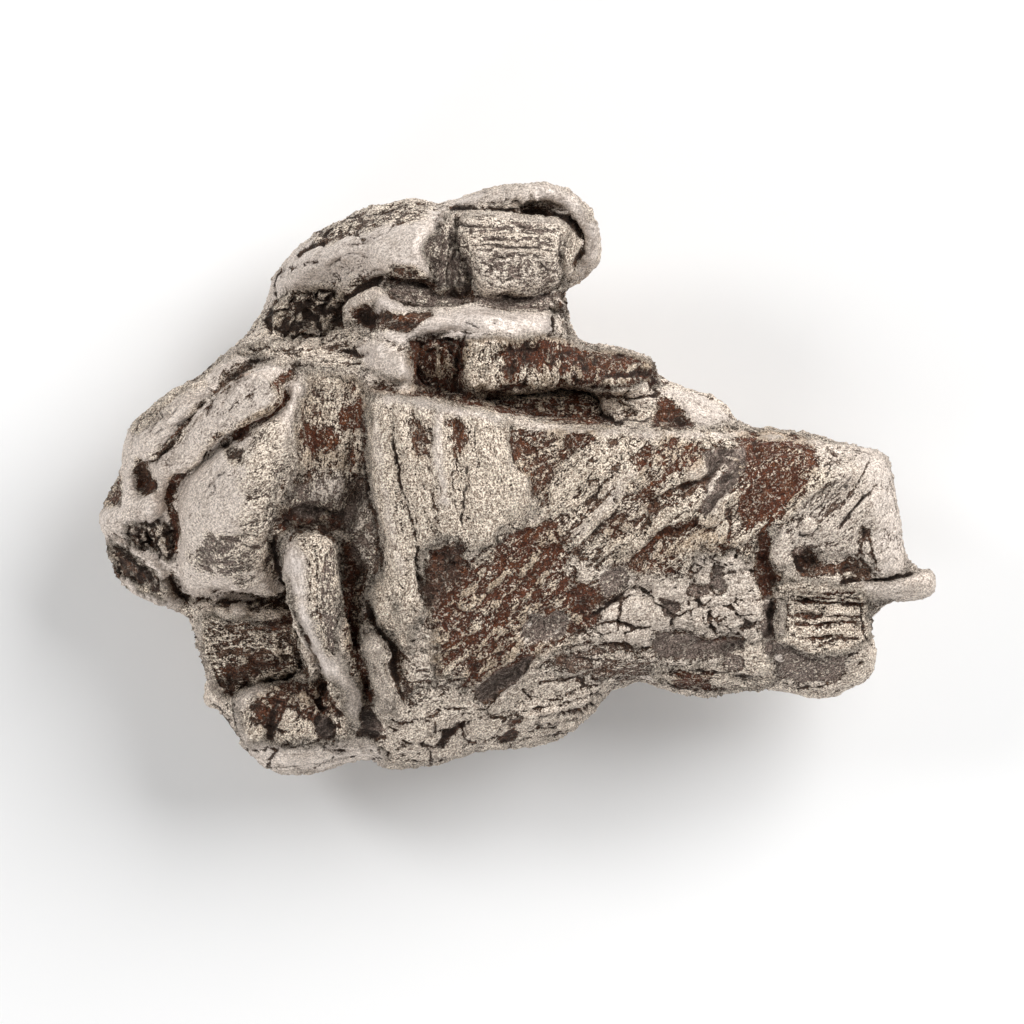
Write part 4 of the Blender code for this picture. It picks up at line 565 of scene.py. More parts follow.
# The foot of the wedge
# The lower border rolls away from the eye. It is worn pale along its very edge, split by slanting clefts,
# and has a band of smooth grey crust above it.
def wedge_foot(skin):
    foot = [(-7.4, -13.4), (-4.6, -12.0), (-2.8, -13.2), (-1.0, -13.4), (2.0, -10.4), (5.0, -9.6),
            (5.4, -12.6), (2.5, -15.8), (-3.0, -16.8), (-9.2, -17.4), (-9.4, -14.6)]
    skin.patch(foot, edge=0.5, ragged=0.5, bare=0.78, rust=0.25, grey=0.2, worn=0.3, turn=40.0)
    skin.cracks([(-7.0, -13.6), (-3.0, -13.2), (2.0, -10.6), (5.0, -10.4), (4.6, -13.6), (2.0, -16.0),
                 (-9.0, -17.2)], 1.3, -0.14, turn=20.0, long=2.2, width=0.14, dark=0.5, bare=0.2)
    skin.patch([(-6.6, -10.6), (-4.4, -9.2), (-4.6, -12.4), (-6.6, -13.2)], edge=0.5, ragged=0.5, bare=0.45,
               grey=0.5)
    skin.patch([(-6.0, -9.0), (-4.8, -9.0), (-4.6, -10.6), (-5.8, -11.0)], edge=0.35, ragged=0.3, bare=0.9)
    skin.line([(-4.7, -16.1), (-4.3, -15.3), (-3.7, -14.9), (-3.0, -14.6)], 0.59, -0.4, dark=0.9, rust=0.7,
              bare=0.05)
    skin.patch([(0.2, -14.3), (0.0, -15.1), (-0.6, -15.6), (-1.0, -15.2), (-0.5, -14.6)], -0.2, edge=0.2,
               dark=0.6, rust=0.7, bare=0.1)
    for x, y in ((-5.6, -14.2), (-7.4, -14.8), (-6.6, -15.6), (-5.4, -15.9), (-8.0, -16.3)):
        skin.line([(x - 0.35, y + 0.2), (x + 0.4, y - 0.1)], 0.24, -0.2, dark=0.75, bare=0.1)
    for shift in range(4):
        y = -12.7 - 0.62 * shift
        skin.line([(5.2 - 0.5 * shift, y), (3.2, y - 0.5), (1.0 - 0.3 * shift, y - 1.0)], 0.21, -0.2,
                  dark=0.7, bare=0.2)
        skin.line([(5.0 - 0.5 * shift, y - 0.3), (3.0, y - 0.85), (0.6, y - 1.4)], 0.35, 0.15, bare=0.85)
    skin.line([(4.1, -11.3), (6.0, -11.55), (8.4, -11.95)], 0.25, 0.12, bare=0.95, worn=0.8)
    skin.line([(2.6, -11.5), (3.9, -11.4), (5.0, -10.9)], 0.3, 0.1, bare=0.85)
    skin.patch([(2.4, -10.2), (8.2, -10.0), (8.4, -11.2), (6.0, -11.8), (2.6, -11.4)], edge=0.35,
               ragged=0.4, bare=0.22, rust=0.5, grey=0.5, worn=0.4, turn=5.0)
    skin.spot((6.5, -10.4), (0.5, 0.35), 0.12, bare=0.95)
    skin.patch([(2.2, -9.3), (3.4, -8.9), (4.6, -9.4), (4.0, -9.9), (2.4, -10.0)], edge=0.3, bare=0.55,
               rust=0.6)
    skin.line([(5.2, -9.7), (7.0, -9.95), (8.1, -9.9)], 0.21, -0.25, dark=0.85, bare=0.1)
    skin.line([(5.4, -9.3), (6.8, -9.4), (7.9, -9.4)], 0.6, 0.1, bare=0.9)
    skin.line([(5.0, -8.4), (6.0, -8.4), (7.4, -8.9), (8.2, -8.7)], 0.28, -0.22, dark=0.7, bare=0.1)
    skin.patch([(8.1, -9.1), (10.0, -8.9), (11.2, -9.5), (13.0, -9.4), (13.8, -9.9), (13.0, -10.4),
                (11.0, -10.8), (8.6, -10.6)], -0.2, edge=0.25, ragged=0.2, bare=0.06, grey=0.85, rust=0.3,
               worn=0.7, dark=0.2)
    skin.patch([(11.0, -9.4), (13.0, -9.4), (12.8, -10.0), (11.2, -10.2)], edge=0.25, rust=0.9, bare=0.05,
               dark=0.3)
    skin.patch([(8.4, -10.9), (11.0, -10.9), (14.0, -9.6), (15.2, -9.6), (15.4, -12.4), (12.0, -12.6),
                (9.0, -12.2)], edge=0.3, ragged=0.4, bare=0.7, rust=0.3, worn=0.2, turn=-4.0)
    skin.line([(8.8, -11.3), (10.5, -11.35), (11.5, -11.55), (12.2, -11.4), (13.5, -11.75), (15.2, -11.9)],
              0.24, -0.28, dark=0.9, bare=0.1)
    skin.patch([(9.6, -11.5), (11.6, -11.7), (11.6, -12.6), (9.8, -12.5)], edge=0.25, rust=1.0, bare=0.15,
               dark=0.2)
    skin.line([(8.4, -12.1), (10.0, -12.5), (12.8, -12.6)], 0.21, -0.2, dark=0.8, bare=0.1)
    skin.patch([(12.4, -10.4), (13.4, -10.6), (13.4, -11.4), (12.7, -11.3)], -0.12, edge=0.2, bare=0.05,
               grey=0.8)


# The right end
# The wedge ends in a rubbed, silvery face with fine slanting slivers, over a block split into level layers
# like a ladder. A thin tab of metal sticks out from between them.
def right_end(skin):
    face = [(18.0, 2.2), (22.4, 1.8), (23.6, -5.4), (21.6, -5.5), (20.9, -4.4), (18.2, -4.4), (15.2, -5.4),
            (15.0, -3.2), (17.0, -1.4), (18.6, 0.2)]
    skin.patch(face, edge=0.4, bare=0.62, rust=0.3, grey=0.5, worn=0.45, turn=42.0)
    skin.patch([(20.4, 1.6), (22.4, 1.6), (23.5, -5.2), (21.8, -5.2), (21.4, -2.0)], edge=0.5, bare=0.62,
               grey=0.5, worn=0.7)
    for shift in range(6):
        x = 16.2 + 0.62 * shift
        y = 0.35 * shift
        skin.line([(x + 1.9, 0.1 + y), (x + 0.8, -1.0 + y * 0.7), (x - 0.5, -2.2 + y * 0.4)], 0.3, 0.16,
                  bare=0.9)
        skin.line([(x + 2.1, -0.2 + y), (x + 1.0, -1.3 + y * 0.7), (x - 0.2, -2.5 + y * 0.4)], 0.16, -0.16,
                  dark=0.6, bare=0.2)
    skin.patch([(18.2, 0.7), (19.6, 0.6), (19.2, -0.6), (17.6, -1.6), (17.8, -0.4)], edge=0.3, bare=0.45,
               rust=0.5)
    skin.line([(18.2, 0.9), (18.8, 1.0), (18.4, 0.2)], 0.21, -0.12, dark=0.85)
    skin.line([(18.2, 2.4), (19.2, 2.0), (20.2, 1.9), (21.2, 1.7)], 0.17, -0.12, dark=0.5)
    skin.line([(21.4, -0.3), (21.2, -0.7), (20.5, -1.2), (19.7, -2.0), (19.15, -2.7)], 0.21, -0.25,
              dark=0.95, bare=0.1)
    skin.spot((17.35, -2.6), (0.5, 0.55), 0.2, bare=1.0)
    skin.line([(16.8, -2.2), (16.7, -2.9), (17.1, -3.3), (17.8, -2.9), (17.9, -2.2)], 0.17, -0.15, dark=0.8)
    skin.patch([(20.5, -3.0), (21.0, -3.1), (21.1, -4.0), (21.6, -4.6), (21.5, -5.5), (20.2, -5.6),
                (20.2, -4.0)], -0.06, edge=0.2, ragged=0.25, bare=0.36, rust=0.5, dark=0.2)
    skin.line([(20.6, -2.4), (20.7, -3.2), (20.4, -4.4)], 0.2, -0.18, dark=0.7, bare=0.1)
    skin.line([(21.1, -3.2), (21.2, -4.0), (21.55, -4.9)], 0.2, -0.18, dark=0.7, bare=0.1)
    skin.patch([(16.5, -4.1), (17.7, -4.0), (18.2, -4.75), (19.3, -4.8), (20.8, -5.0), (20.8, -5.7),
                (18.0, -5.6), (16.6, -5.2)], -0.1, edge=0.2, ragged=0.15, bare=0.1, rust=0.55, worn=0.0,
               dark=0.25)
    skin.line([(16.4, -4.1), (16.6, -4.9), (17.1, -5.3)], 0.24, -0.2, dark=0.85, bare=0.05)
    # A black line under the face's lower edge, above the tab: painted shade in the gap under that edge.
    skin.line([(23.9, -5.5), (23.2, -5.7), (22.2, -5.9), (21.0, -5.9), (19.6, -6.0), (19.4, -6.5)], 0.28,
              -0.4, dark=1.0, bare=0.0)
    skin.line([(19.6, -5.55), (20.4, -5.6), (21.4, -5.4)], 0.2, 0.12, bare=1.0, dark=0.0)
    tab = [(20.8, -6.1), (22.6, -6.0), (24.5, -5.3), (25.4, -6.2), (24.6, -7.2), (22.4, -7.2), (20.9, -6.8)]
    skin.patch(tab, edge=0.3, ragged=0.15, bare=0.8, rust=0.25, grey=0.2, worn=0.6, turn=5.0)
    skin.patch([(14.3, -3.2), (15.0, -3.3), (15.1, -5.0), (15.7, -5.7), (15.7, -6.5), (15.1, -6.9),
                (14.5, -6.7), (14.1, -5.5)], -0.1, edge=0.18, ragged=0.2, bare=0.16, rust=0.85, dark=0.22,
               worn=0.0)
    skin.line([(15.0, -7.1), (15.5, -6.8), (16.0, -6.8)], 0.25, 0.15, bare=1.0, dark=0.0)
    skin.line([(15.5, -7.1), (15.3, -8.0), (15.3, -8.9), (14.9, -9.4)], 0.39, -0.35, dark=0.85, bare=0.05,
              grey=0.4)
    block = [(15.6, -6.0), (19.4, -6.1), (21.0, -6.7), (21.3, -8.0), (21.1, -9.6), (18.0, -10.6),
             (16.4, -10.1), (15.4, -9.6), (15.8, -7.4)]
    skin.patch(block, edge=0.25, ragged=0.15, bare=0.64, rust=0.35, grey=0.2, worn=0.1, turn=-3.0)
    skin.line([(16.0, -7.0), (16.0, -8.2), (15.9, -9.3)], 0.6, 0.15, bare=0.92, worn=0.5, turn=88.0)
    for y, width, rise, tone in ((-6.35, 0.25, 0.12, 1.0), (-6.6, 0.16, -0.15, 0.9),
                                 (-6.95, 0.14, -0.12, 0.9), (-7.25, 0.32, -0.3, 1.0),
                                 (-7.75, 0.3, 0.12, 1.0), (-8.05, 0.2, -0.18, 0.9), (-8.5, 0.3, -0.25, 0.9),
                                 (-9.0, 0.35, 0.14, 1.0), (-9.35, 0.22, -0.2, 0.9)):
        finish = {"dark": 0.55 * tone, "bare": 0.15, "rust": 0.8} if rise < 0 else {"dark": 0.0,
                                                                                    "bare": 0.9}
        skin.line([(16.7, y), (18.0, y - 0.06), (19.4, y), (20.8, y - 0.08)], width, rise, **finish)
    skin.line([(16.3, -7.2), (16.3, -8.4), (16.4, -9.0)], 0.14, -0.2, dark=0.9, bare=0.1)
    skin.line([(20.7, -7.2), (20.8, -8.4), (21.2, -9.8)], 0.17, -0.18, dark=0.8, bare=0.2)
    skin.patch([(15.3, -9.8), (16.8, -10.0), (17.6, -10.5), (19.9, -10.6), (20.1, -11.3), (19.6, -12.0),
                (16.4, -12.0), (15.4, -11.2)], -0.12, edge=0.2, ragged=0.15, bare=0.06, grey=1.0, rust=0.1,
               worn=0.8, dark=0.05)
    skin.spot((15.8, -10.6), (0.35, 0.3), 0.1, bare=1.0)
    skin.line([(18.3, -10.4), (19.2, -10.2), (20.0, -9.8)], 0.45, 0.15, bare=0.95)
    skin.line([(18.2, -9.9), (19.4, -9.5), (20.6, -9.4)], 0.21, -0.2, dark=0.9, bare=0.1)
    skin.patch([(20.3, -10.2), (21.6, -10.4), (21.4, -11.6), (19.8, -12.6), (17.6, -13.2), (17.2, -12.6),
                (19.6, -12.2)], edge=0.3, bare=0.8, rust=0.3, grey=0.2, worn=0.3)
    for x, y in ((17.4, -12.4), (18.6, -12.3), (20.2, -10.4), (20.6, -11.0), (19.9, -11.9)):
        skin.line([(x - 0.4, y), (x + 0.4, y + 0.15)], 0.20, -0.18, dark=0.9, bare=0.1)


# The ledges and the slot
# Behind the wedge's upper edge a deep slot opens under a straight ledge of rusty metal. Above the ledge
# lies a rounded, silvery band, and to the right a small smooth lump closes the slot.
def ledges(skin):
    skin.line([(-8.2, 4.75), (-6.3, 4.65), (-4.5, 4.35), (-2.0, 3.75), (-0.8, 3.5)], 0.7, 0.12, bare=0.95,
              worn=0.8, dark=0.0)
    skin.line([(0.2, 3.3), (4.0, 2.95), (8.0, 2.8), (11.5, 2.8), (14.0, 2.8), (17.0, 2.5), (20.0, 1.8)],
              0.55, 0.12, bare=0.92, worn=0.6, dark=0.0)
    slot = [(-8.6, 5.6), (-5.0, 5.25), (-1.0, 5.15), (1.2, 5.3), (3.0, 5.5), (4.8, 5.1), (5.1, 4.2),
            (6.0, 3.3), (3.0, 3.35), (0.0, 3.85), (-3.5, 4.55), (-5.5, 4.85), (-8.2, 5.1)]
    skin.fill(slot, [(-4.0, 5.2, 13.6), (4.5, 4.8, 12.9), (0.0, 3.8, 13.6)])
    skin.patch(slot, edge=0.2, ragged=0.1, bare=0.2, rust=0.75, dark=0.3, worn=0.0, turn=0.0)
    skin.line([(-4.4, 4.9), (-2.6, 4.75), (-1.2, 4.5)], 0.25, 0.1, bare=0.6, dark=0.3)
    for x, y, long in ((-6.8, 5.4, 0.35), (-5.0, 5.5, 0.3), (-2.3, 4.95, 0.4), (-0.3, 5.4, 0.4),
                       (-1.4, 4.75, 0.3)):
        skin.spot((x, y), (long, 0.18), 0.15, turn=-15, bare=0.95, dark=0.0)
    skin.patch([(5.0, 4.7), (6.6, 4.75), (7.2, 4.5), (8.6, 4.5), (8.3, 3.9), (8.0, 3.3), (6.1, 3.3),
                (5.3, 4.0)], edge=0.2, ragged=0.15, bare=0.75, rust=0.3, worn=0.2, dark=0.1, turn=10.0)
    skin.line([(6.0, 3.5), (7.2, 3.7), (8.0, 3.8)], 0.17, -0.15, dark=0.7)
    skin.line([(5.1, 4.0), (5.6, 3.6), (6.2, 3.3)], 0.28, -0.2, dark=0.9, bare=0.05)
    skin.patch([(8.5, 5.0), (9.5, 5.0), (10.2, 4.0), (10.9, 3.2), (8.2, 3.3)], edge=0.2, ragged=0.15,
               bare=0.12, rust=0.75, dark=0.35, worn=0.1)
    skin.patch([(8.6, 5.4), (9.6, 5.6), (10.5, 5.4), (11.8, 5.0), (12.8, 3.8), (11.0, 3.3), (10.2, 4.0),
                (9.5, 4.9)], edge=0.2, ragged=0.1, bare=0.85, worn=0.7, rust=0.2, dark=0.0)
    # A black line under the ledge's edge, where it overhangs the slot: painted shadow under the ledge.
    skin.line([(5.0, 5.15), (6.8, 4.95), (8.4, 5.2), (8.0, 5.8)], 0.28, -0.3, dark=1.0, bare=0.0)
    band = [(-8.6, 9.4), (-8.0, 11.2), (-7.0, 10.5), (-5.5, 10.05), (-4.0, 10.1), (-1.8, 10.45),
            (-0.8, 10.0), (1.8, 9.9), (2.1, 8.8), (0.0, 8.7), (-1.8, 8.5), (-2.6, 8.0), (-4.5, 8.3),
            (-7.2, 8.1)]
    skin.patch(band, edge=0.3, ragged=0.15, bare=0.88, rust=0.15, grey=0.25, worn=0.85, turn=0.0)
    skin.patch([(-9.0, 9.9), (-6.6, 10.0), (-4.8, 9.9), (-5.6, 9.4), (-7.4, 8.9), (-8.9, 9.1)], -0.25,
               edge=0.2, ragged=0.15, bare=0.1, rust=0.6, dark=0.5, worn=0.0)
    skin.line([(-3.2, 9.5), (-2.2, 9.0)], 0.17, -0.15, dark=0.75)
    skin.line([(-1.6, 9.4), (-1.3, 9.2)], 0.15, -0.12, dark=0.7)
    skin.line([(-6.0, 8.5), (-4.0, 8.9), (-2.4, 8.8)], 0.21, -0.1, dark=0.35, bare=0.5)
    skin.patch([(2.0, 9.8), (2.9, 10.2), (3.1, 9.1), (3.8, 8.3), (2.0, 8.7)], edge=0.2, bare=0.55, grey=0.4,
               dark=0.1, turn=80.0)
    skin.line([(2.05, 9.9), (2.1, 8.8), (1.9, 8.5)], 0.21, -0.3, dark=0.95, bare=0.0)
    ramp = [(-8.2, 11.9), (-5.5, 11.7), (-3.4, 11.0), (2.4, 11.1), (2.9, 10.3), (-0.8, 10.15), (-2.8, 10.6),
            (-5.5, 10.3), (-7.0, 10.8)]
    skin.fill(ramp, [(-6.5, 11.3, 15.0), (1.0, 10.8, 14.6), (-3.0, 10.4, 15.2)])
    skin.patch(ramp, edge=0.25, ragged=0.2, bare=0.18, grey=0.8, rust=0.3, worn=0.4, dark=0.2, turn=2.0)
    skin.line([(-1.2, 11.05), (0.6, 10.95), (2.3, 11.0)], 0.24, -0.35, dark=1.0, bare=0.0)
    skin.line([(-7.6, 11.3), (-6.8, 10.6), (-5.0, 10.25), (-3.0, 10.6)], 0.24, -0.25, dark=0.8, bare=0.1)
    ledge = [(-3.1, 8.2), (-1.0, 8.5), (1.9, 8.6), (4.3, 8.0), (8.3, 7.2), (8.2, 6.5), (8.5, 5.8),
             (5.0, 5.6), (1.0, 5.25), (-3.0, 5.4)]
    skin.patch(ledge, edge=0.2, ragged=0.1, bare=0.16, rust=0.95, worn=0.0, dark=0.38, turn=86.0)
    skin.cracks(ledge, 0.7, -0.12, turn=86.0, long=1.8, width=0.2, dark=0.7, bare=0.05)
    skin.patch([(-3.0, 8.0), (-1.2, 8.2), (-0.9, 6.6), (-1.4, 5.4), (-3.0, 5.5)], edge=0.3, bare=0.6,
               rust=0.2, grey=0.3, dark=0.1)
    skin.patch([(0.2, 6.6), (2.8, 6.4), (2.8, 5.6), (0.8, 5.3)], edge=0.3, bare=0.42, rust=0.5, dark=0.15)
    skin.line([(-2.9, 8.2), (-0.6, 8.4), (1.9, 8.5), (4.3, 7.9), (6.2, 7.65), (8.0, 7.3)], 0.4, 0.12,
              bare=0.9, dark=0.0, worn=0.4)
    skin.line([(-0.8, 7.9), (1.0, 7.75), (2.4, 7.5), (4.4, 7.0)], 0.17, -0.15, dark=0.6, bare=0.15)
    skin.line([(4.6, 7.4), (4.8, 6.3)], 0.25, 0.12, bare=0.9)
    skin.patch([(4.9, 7.3), (8.0, 6.9), (8.1, 5.9), (4.9, 5.7)], edge=0.25, bare=0.1, rust=0.75, dark=0.42)
    skin.line([(4.9, 6.3), (6.4, 6.35), (8.0, 6.5)], 0.28, -0.3, dark=1.0, bare=0.0)
    skin.line([(6.6, 6.7), (7.4, 6.9), (8.1, 6.8)], 0.35, 0.12, bare=0.7)
    skin.line([(5.2, 5.95), (6.8, 6.05), (7.8, 5.9)], 0.22, 0.1, bare=0.7)
    skin.line([(-0.9, 5.5), (0.2, 5.6), (0.6, 6.1)], 0.32, -0.25, dark=0.85, bare=0.1)
    skin.fill([(-3.4, 9.1), (-2.5, 8.3), (-2.5, 5.4), (-4.4, 5.2), (-6.6, 5.4), (-7.0, 7.0), (-6.2, 8.7),
               (-4.8, 9.2)], [(-6.0, 8.0, 16.3), (-3.2, 8.0, 16.7), (-4.6, 5.6, 15.3)])
    skin.patch([(-6.4, 8.4), (-4.6, 8.6), (-2.9, 8.4), (-3.0, 6.9), (-3.2, 5.4), (-6.1, 5.4), (-6.4, 6.8)],
               edge=0.25, ragged=0.15, bare=0.1, rust=0.8, dark=0.42, worn=0.0, turn=84.0)
    skin.line([(-4.85, 8.2), (-4.7, 7.2), (-4.6, 6.0)], 0.24, 0.35, bare=0.95, dark=0.0)
    skin.patch([(-4.4, 7.1), (-3.9, 7.0), (-3.8, 6.2), (-4.4, 6.1)], edge=0.15, ragged=0.1, bare=0.6,
               dark=0.1)
    skin.spot((-6.6, 5.5), (0.7, 0.4), 0.3, bare=0.95, dark=0.0, worn=0.5)
    skin.line([(-5.8, 5.7), (-5.3, 5.3), (-4.6, 5.35), (-4.1, 5.1)], 0.3, 0.25, bare=0.9, dark=0.0)
    skin.line([(-3.3, 7.8), (-3.3, 7.0), (-3.0, 5.9)], 0.2, -0.2, dark=0.7, bare=0.1)
    skin.line([(-5.3, 7.8), (-5.5, 6.8), (-5.4, 6.0)], 0.25, -0.15, dark=0.7, bare=0.1)
    skin.patch([(-9.4, 8.2), (-7.8, 8.1), (-6.1, 6.9), (-6.2, 5.9), (-7.6, 6.4), (-9.0, 7.0)], 0.1,
               edge=0.3, bare=0.9, worn=0.8, dark=0.0)
    skin.patch([(-9.2, 6.4), (-6.4, 5.8), (-5.2, 5.2), (-8.6, 5.3)], edge=0.25, bare=0.75, worn=0.5,
               turn=-10.0)


# The head
# Smooth, silvery lobes on the left and a split block on the right, round which the metal's rim is folded
# right over. Behind the lobes is a field of pits painted nearly black, and long thin strands lie below it.
def head(skin):
    lobes = [(-15.2, 10.6), (-14.6, 12.8), (-12.0, 15.2), (-8.0, 16.6), (-5.0, 16.6), (-4.2, 15.4),
             (-5.6, 13.4), (-5.0, 11.6), (-7.6, 11.6), (-9.4, 12.0), (-11.6, 11.8), (-13.4, 11.6)]
    skin.patch(lobes, edge=0.35, bare=0.84, rust=0.2, grey=0.3, worn=0.8, turn=15.0)
    skin.patch([(-12.0, 15.2), (-8.0, 16.7), (-5.4, 16.8), (-5.4, 15.8), (-8.0, 15.2), (-11.4, 14.4)],
               edge=0.35, bare=0.42, grey=0.5, worn=0.1, dark=0.15)
    skin.cracks([(-14.0, 12.4), (-12.0, 15.2), (-8.0, 16.7), (-5.4, 16.6), (-8.0, 14.8), (-11.4, 13.4)],
                1.1, -0.14, turn=30.0, long=2.4, width=0.16, dark=0.5, bare=0.2)
    skin.line([(-11.6, 14.9), (-10.9, 15.5), (-9.5, 16.1), (-8.0, 16.0), (-7.0, 16.3), (-6.4, 16.7)], 0.21,
              -0.25, dark=0.9, bare=0.1)
    skin.line([(-13.0, 12.2), (-13.0, 12.8), (-12.0, 13.2)], 0.17, -0.2, dark=0.85)
    skin.line([(-11.3, 12.8), (-10.2, 13.4), (-9.2, 13.5)], 0.17, -0.18, dark=0.8)
    skin.line([(-10.9, 14.0), (-9.0, 14.2), (-8.5, 14.5), (-8.2, 14.9)], 0.20, -0.2, dark=0.85)
    skin.line([(-13.3, 13.4), (-12.5, 14.0), (-11.5, 14.3)], 0.32, -0.25, dark=0.8, bare=0.1)
    skin.line([(-7.4, 15.4), (-6.4, 15.5), (-5.8, 16.0)], 0.21, -0.15, dark=0.5, bare=0.3)
    skin.line([(-8.7, 12.5), (-8.2, 12.5)], 0.21, -0.2, dark=0.9)
    skin.line([(-14.1, 13.0), (-14.6, 12.3), (-14.7, 11.4), (-14.5, 10.8)], 0.21, -0.25, dark=0.9, bare=0.1)
    pits = [(-14.6, 10.6), (-13.4, 11.3), (-11.4, 11.4), (-10.5, 10.5), (-10.5, 8.8), (-12.3, 8.3),
            (-14.0, 8.5), (-15.2, 9.4)]
    skin.fill(pits, [(-14.6, 9.5, 9.8), (-10.9, 9.5, 11.4), (-12.5, 11.3, 10.9)])
    skin.patch(pits, edge=0.3, ragged=0.4, bare=0.6, rust=0.3, dark=0.3, worn=0.0)
    skin.cracks(pits, 0.8, -0.35, turn=30.0, long=1.8, width=0.4, dark=0.9, bare=0.0)
    for x, y, long in ((-14.0, 10.2, 0.45), (-13.3, 9.8, 0.45), (-12.7, 8.7, 0.4), (-11.5, 9.7, 0.4),
                       (-14.5, 9.4, 0.35), (-12.0, 10.6, 0.35), (-13.6, 8.9, 0.3)):
        skin.line([(x - long, y - 0.2), (x, y + 0.1), (x + long, y + 0.15)], 0.22, 0.25, bare=0.85,
                  dark=0.1)
    skin.line([(-11.0, 9.3), (-10.5, 10.5), (-9.5, 11.4), (-8.8, 11.8), (-8.0, 12.1)], 0.52, -0.35,
              dark=0.9, rust=0.5, bare=0.05)
    skin.line([(-10.7, 11.1), (-9.6, 12.0), (-8.4, 12.4)], 0.25, 0.1, rust=0.8, bare=0.35, dark=0.1)
    skin.line([(-10.2, 10.0), (-9.2, 10.9), (-8.1, 11.2)], 0.9, 0.15, bare=0.9, worn=0.7, dark=0.0)
    skin.patch([(-9.7, 10.2), (-8.0, 10.2), (-7.8, 9.6), (-9.4, 9.6)], -0.2, edge=0.25, rust=0.8, bare=0.15,
               dark=0.4)
    skin.patch([(-17.6, 7.6), (-14.0, 8.4), (-10.4, 9.3), (-8.6, 8.2), (-8.9, 6.8), (-12.0, 6.7),
                (-15.6, 7.2)], edge=0.3, bare=0.6, rust=0.35, worn=0.15, turn=6.0, dark=0.12)
    for path in ([(-17.3, 7.7), (-15.5, 8.0), (-13.6, 7.9), (-11.6, 8.4), (-10.4, 9.1)], [(-15.6, 7.5),
                                                                                          (-13.0, 7.2),
                                                                                          (-10.6, 7.2),
                                                                                          (-9.0, 7.0)],
                 [(-16.2, 7.9), (-13.6, 8.25), (-12.0, 8.7)], [(-14.6, 7.6), (-12.4, 7.7), (-10.6, 8.3),
                                                               (-9.4, 9.0)], [(-13.2, 7.5), (-11.4, 7.55),
                                                                              (-9.8, 7.9), (-8.8, 8.4)],
                 [(-16.8, 7.2), (-15.0, 7.3), (-13.4, 7.0), (-11.4, 6.9)]):
        skin.lip(path[::-1], 0.4, 0.2, bare=0.9, dark=0.0, worn=0.3)
        skin.line([(x + 0.1, y - 0.14) for x, y in path], 0.16, -0.16, dark=0.65, bare=0.15)
    skin.line([(-10.2, 7.6), (-9.4, 7.5), (-8.6, 7.6)], 0.35, -0.3, dark=0.95, bare=0.0)
    skin.line([(-19.6, 6.0), (-18.8, 6.8), (-18.0, 7.4)], 0.56, -0.1, dark=0.6, bare=0.3)
    shear = [(-4.2, 15.9), (-3.6, 15.4), (-3.3, 14.0), (-2.8, 11.3), (-4.8, 11.5), (-5.2, 13.0),
             (-5.5, 14.0), (-4.8, 14.8)]
    skin.fill(shear, [(-5.2, 13.5, 15.7), (-3.4, 15.4, 16.1), (-3.2, 12.0, 15.4)])
    skin.patch(shear, edge=0.2, ragged=0.15, bare=0.34, rust=0.2, grey=0.9, dark=0.05, worn=0.3, turn=80.0)
    for shift in range(5):
        x = -5.0 + 0.4 * shift
        skin.line([(x + 0.5, 15.0), (x + 0.2, 13.4), (x + 0.1, 11.6)], 0.18, 0.12, bare=0.3, dark=0.1)
        skin.line([(x + 0.7, 15.0), (x + 0.4, 13.4), (x + 0.3, 11.6)], 0.14, -0.12, bare=0.1, dark=0.6)
    skin.patch([(-7.8, 12.3), (-6.4, 12.7), (-5.2, 12.0), (-4.0, 11.6), (-2.9, 11.6), (-2.9, 10.8),
                (-5.0, 10.4), (-7.0, 10.8)], -0.05, edge=0.2, ragged=0.3, bare=0.12, rust=0.5, dark=0.5,
               worn=0.0, turn=20.0)
    for curl in ([(-6.6, 11.7), (-5.9, 11.3), (-5.6, 11.5)], [(-4.5, 11.6), (-4.3, 11.2), (-4.0, 10.9)],
                 [(-3.6, 11.6), (-3.3, 11.1)]):
        skin.line(curl, 0.24, 0.2, bare=0.95, dark=0.0)
    block = [(-3.5, 15.5), (-1.5, 15.9), (1.0, 15.6), (2.8, 15.4), (3.1, 14.8), (2.6, 13.2), (2.9, 12.3),
             (2.3, 11.3), (0.0, 11.1), (-2.2, 11.2), (-2.9, 12.2), (-3.3, 14.0)]
    skin.patch(block, edge=0.2, ragged=0.1, bare=0.45, rust=0.2, grey=0.8, worn=0.3, dark=0.06, turn=-6.0)
    skin.line([(-3.8, 15.9), (-1.6, 15.85), (0.6, 15.6), (2.7, 15.35)], 0.45, 0.15, bare=0.92, worn=0.5,
              dark=0.0)
    skin.line([(-3.5, 15.25), (-2.2, 15.2), (-1.0, 15.05), (0.4, 15.15), (1.6, 14.95), (2.6, 15.0)], 0.21,
              -0.3, dark=0.95, bare=0.05)
    skin.patch([(-3.2, 15.0), (2.5, 14.8), (2.4, 13.6), (0.2, 13.2), (-2.9, 13.0)], edge=0.3, bare=0.28,
               rust=0.3, grey=0.7, dark=0.1, worn=0.2, turn=-6.0)
    for y, x0, x1, sag in ((14.75, 2.3, -3.2, 0.1), (14.35, 1.4, -3.1, 0.25), (13.95, 2.3, -2.9, 0.3),
                           (13.5, 2.2, -2.6, -0.2), (12.9, 2.0, -1.6, -0.35)):
        skin.lip([(x0, y - 0.1), (0.6 * x0 + 0.4 * x1, y - sag), (0.3 * x0 + 0.7 * x1, y - 0.4 * sag),
                  (x1, y + 0.05)], 0.35, 0.13, bare=0.75)
        skin.line([(x0, y), (0.6 * x0 + 0.4 * x1, y + 0.12 - sag), (x1, y + 0.17)], 0.13, -0.12, dark=0.6,
                  bare=0.2)
    for path, rise, dark in (
            ([(-1.6, 12.9), (-1.3, 12.3), (-0.9, 11.9)], -0.15, 0.8),
            ([(-0.9, 11.8), (-0.3, 12.0), (0.4, 12.1)], -0.15, 0.8),
            ([(1.0, 13.3), (1.8, 12.6), (2.4, 12.4)], -0.12, 0.6)):
        skin.line(path, 0.14, rise, dark=dark)
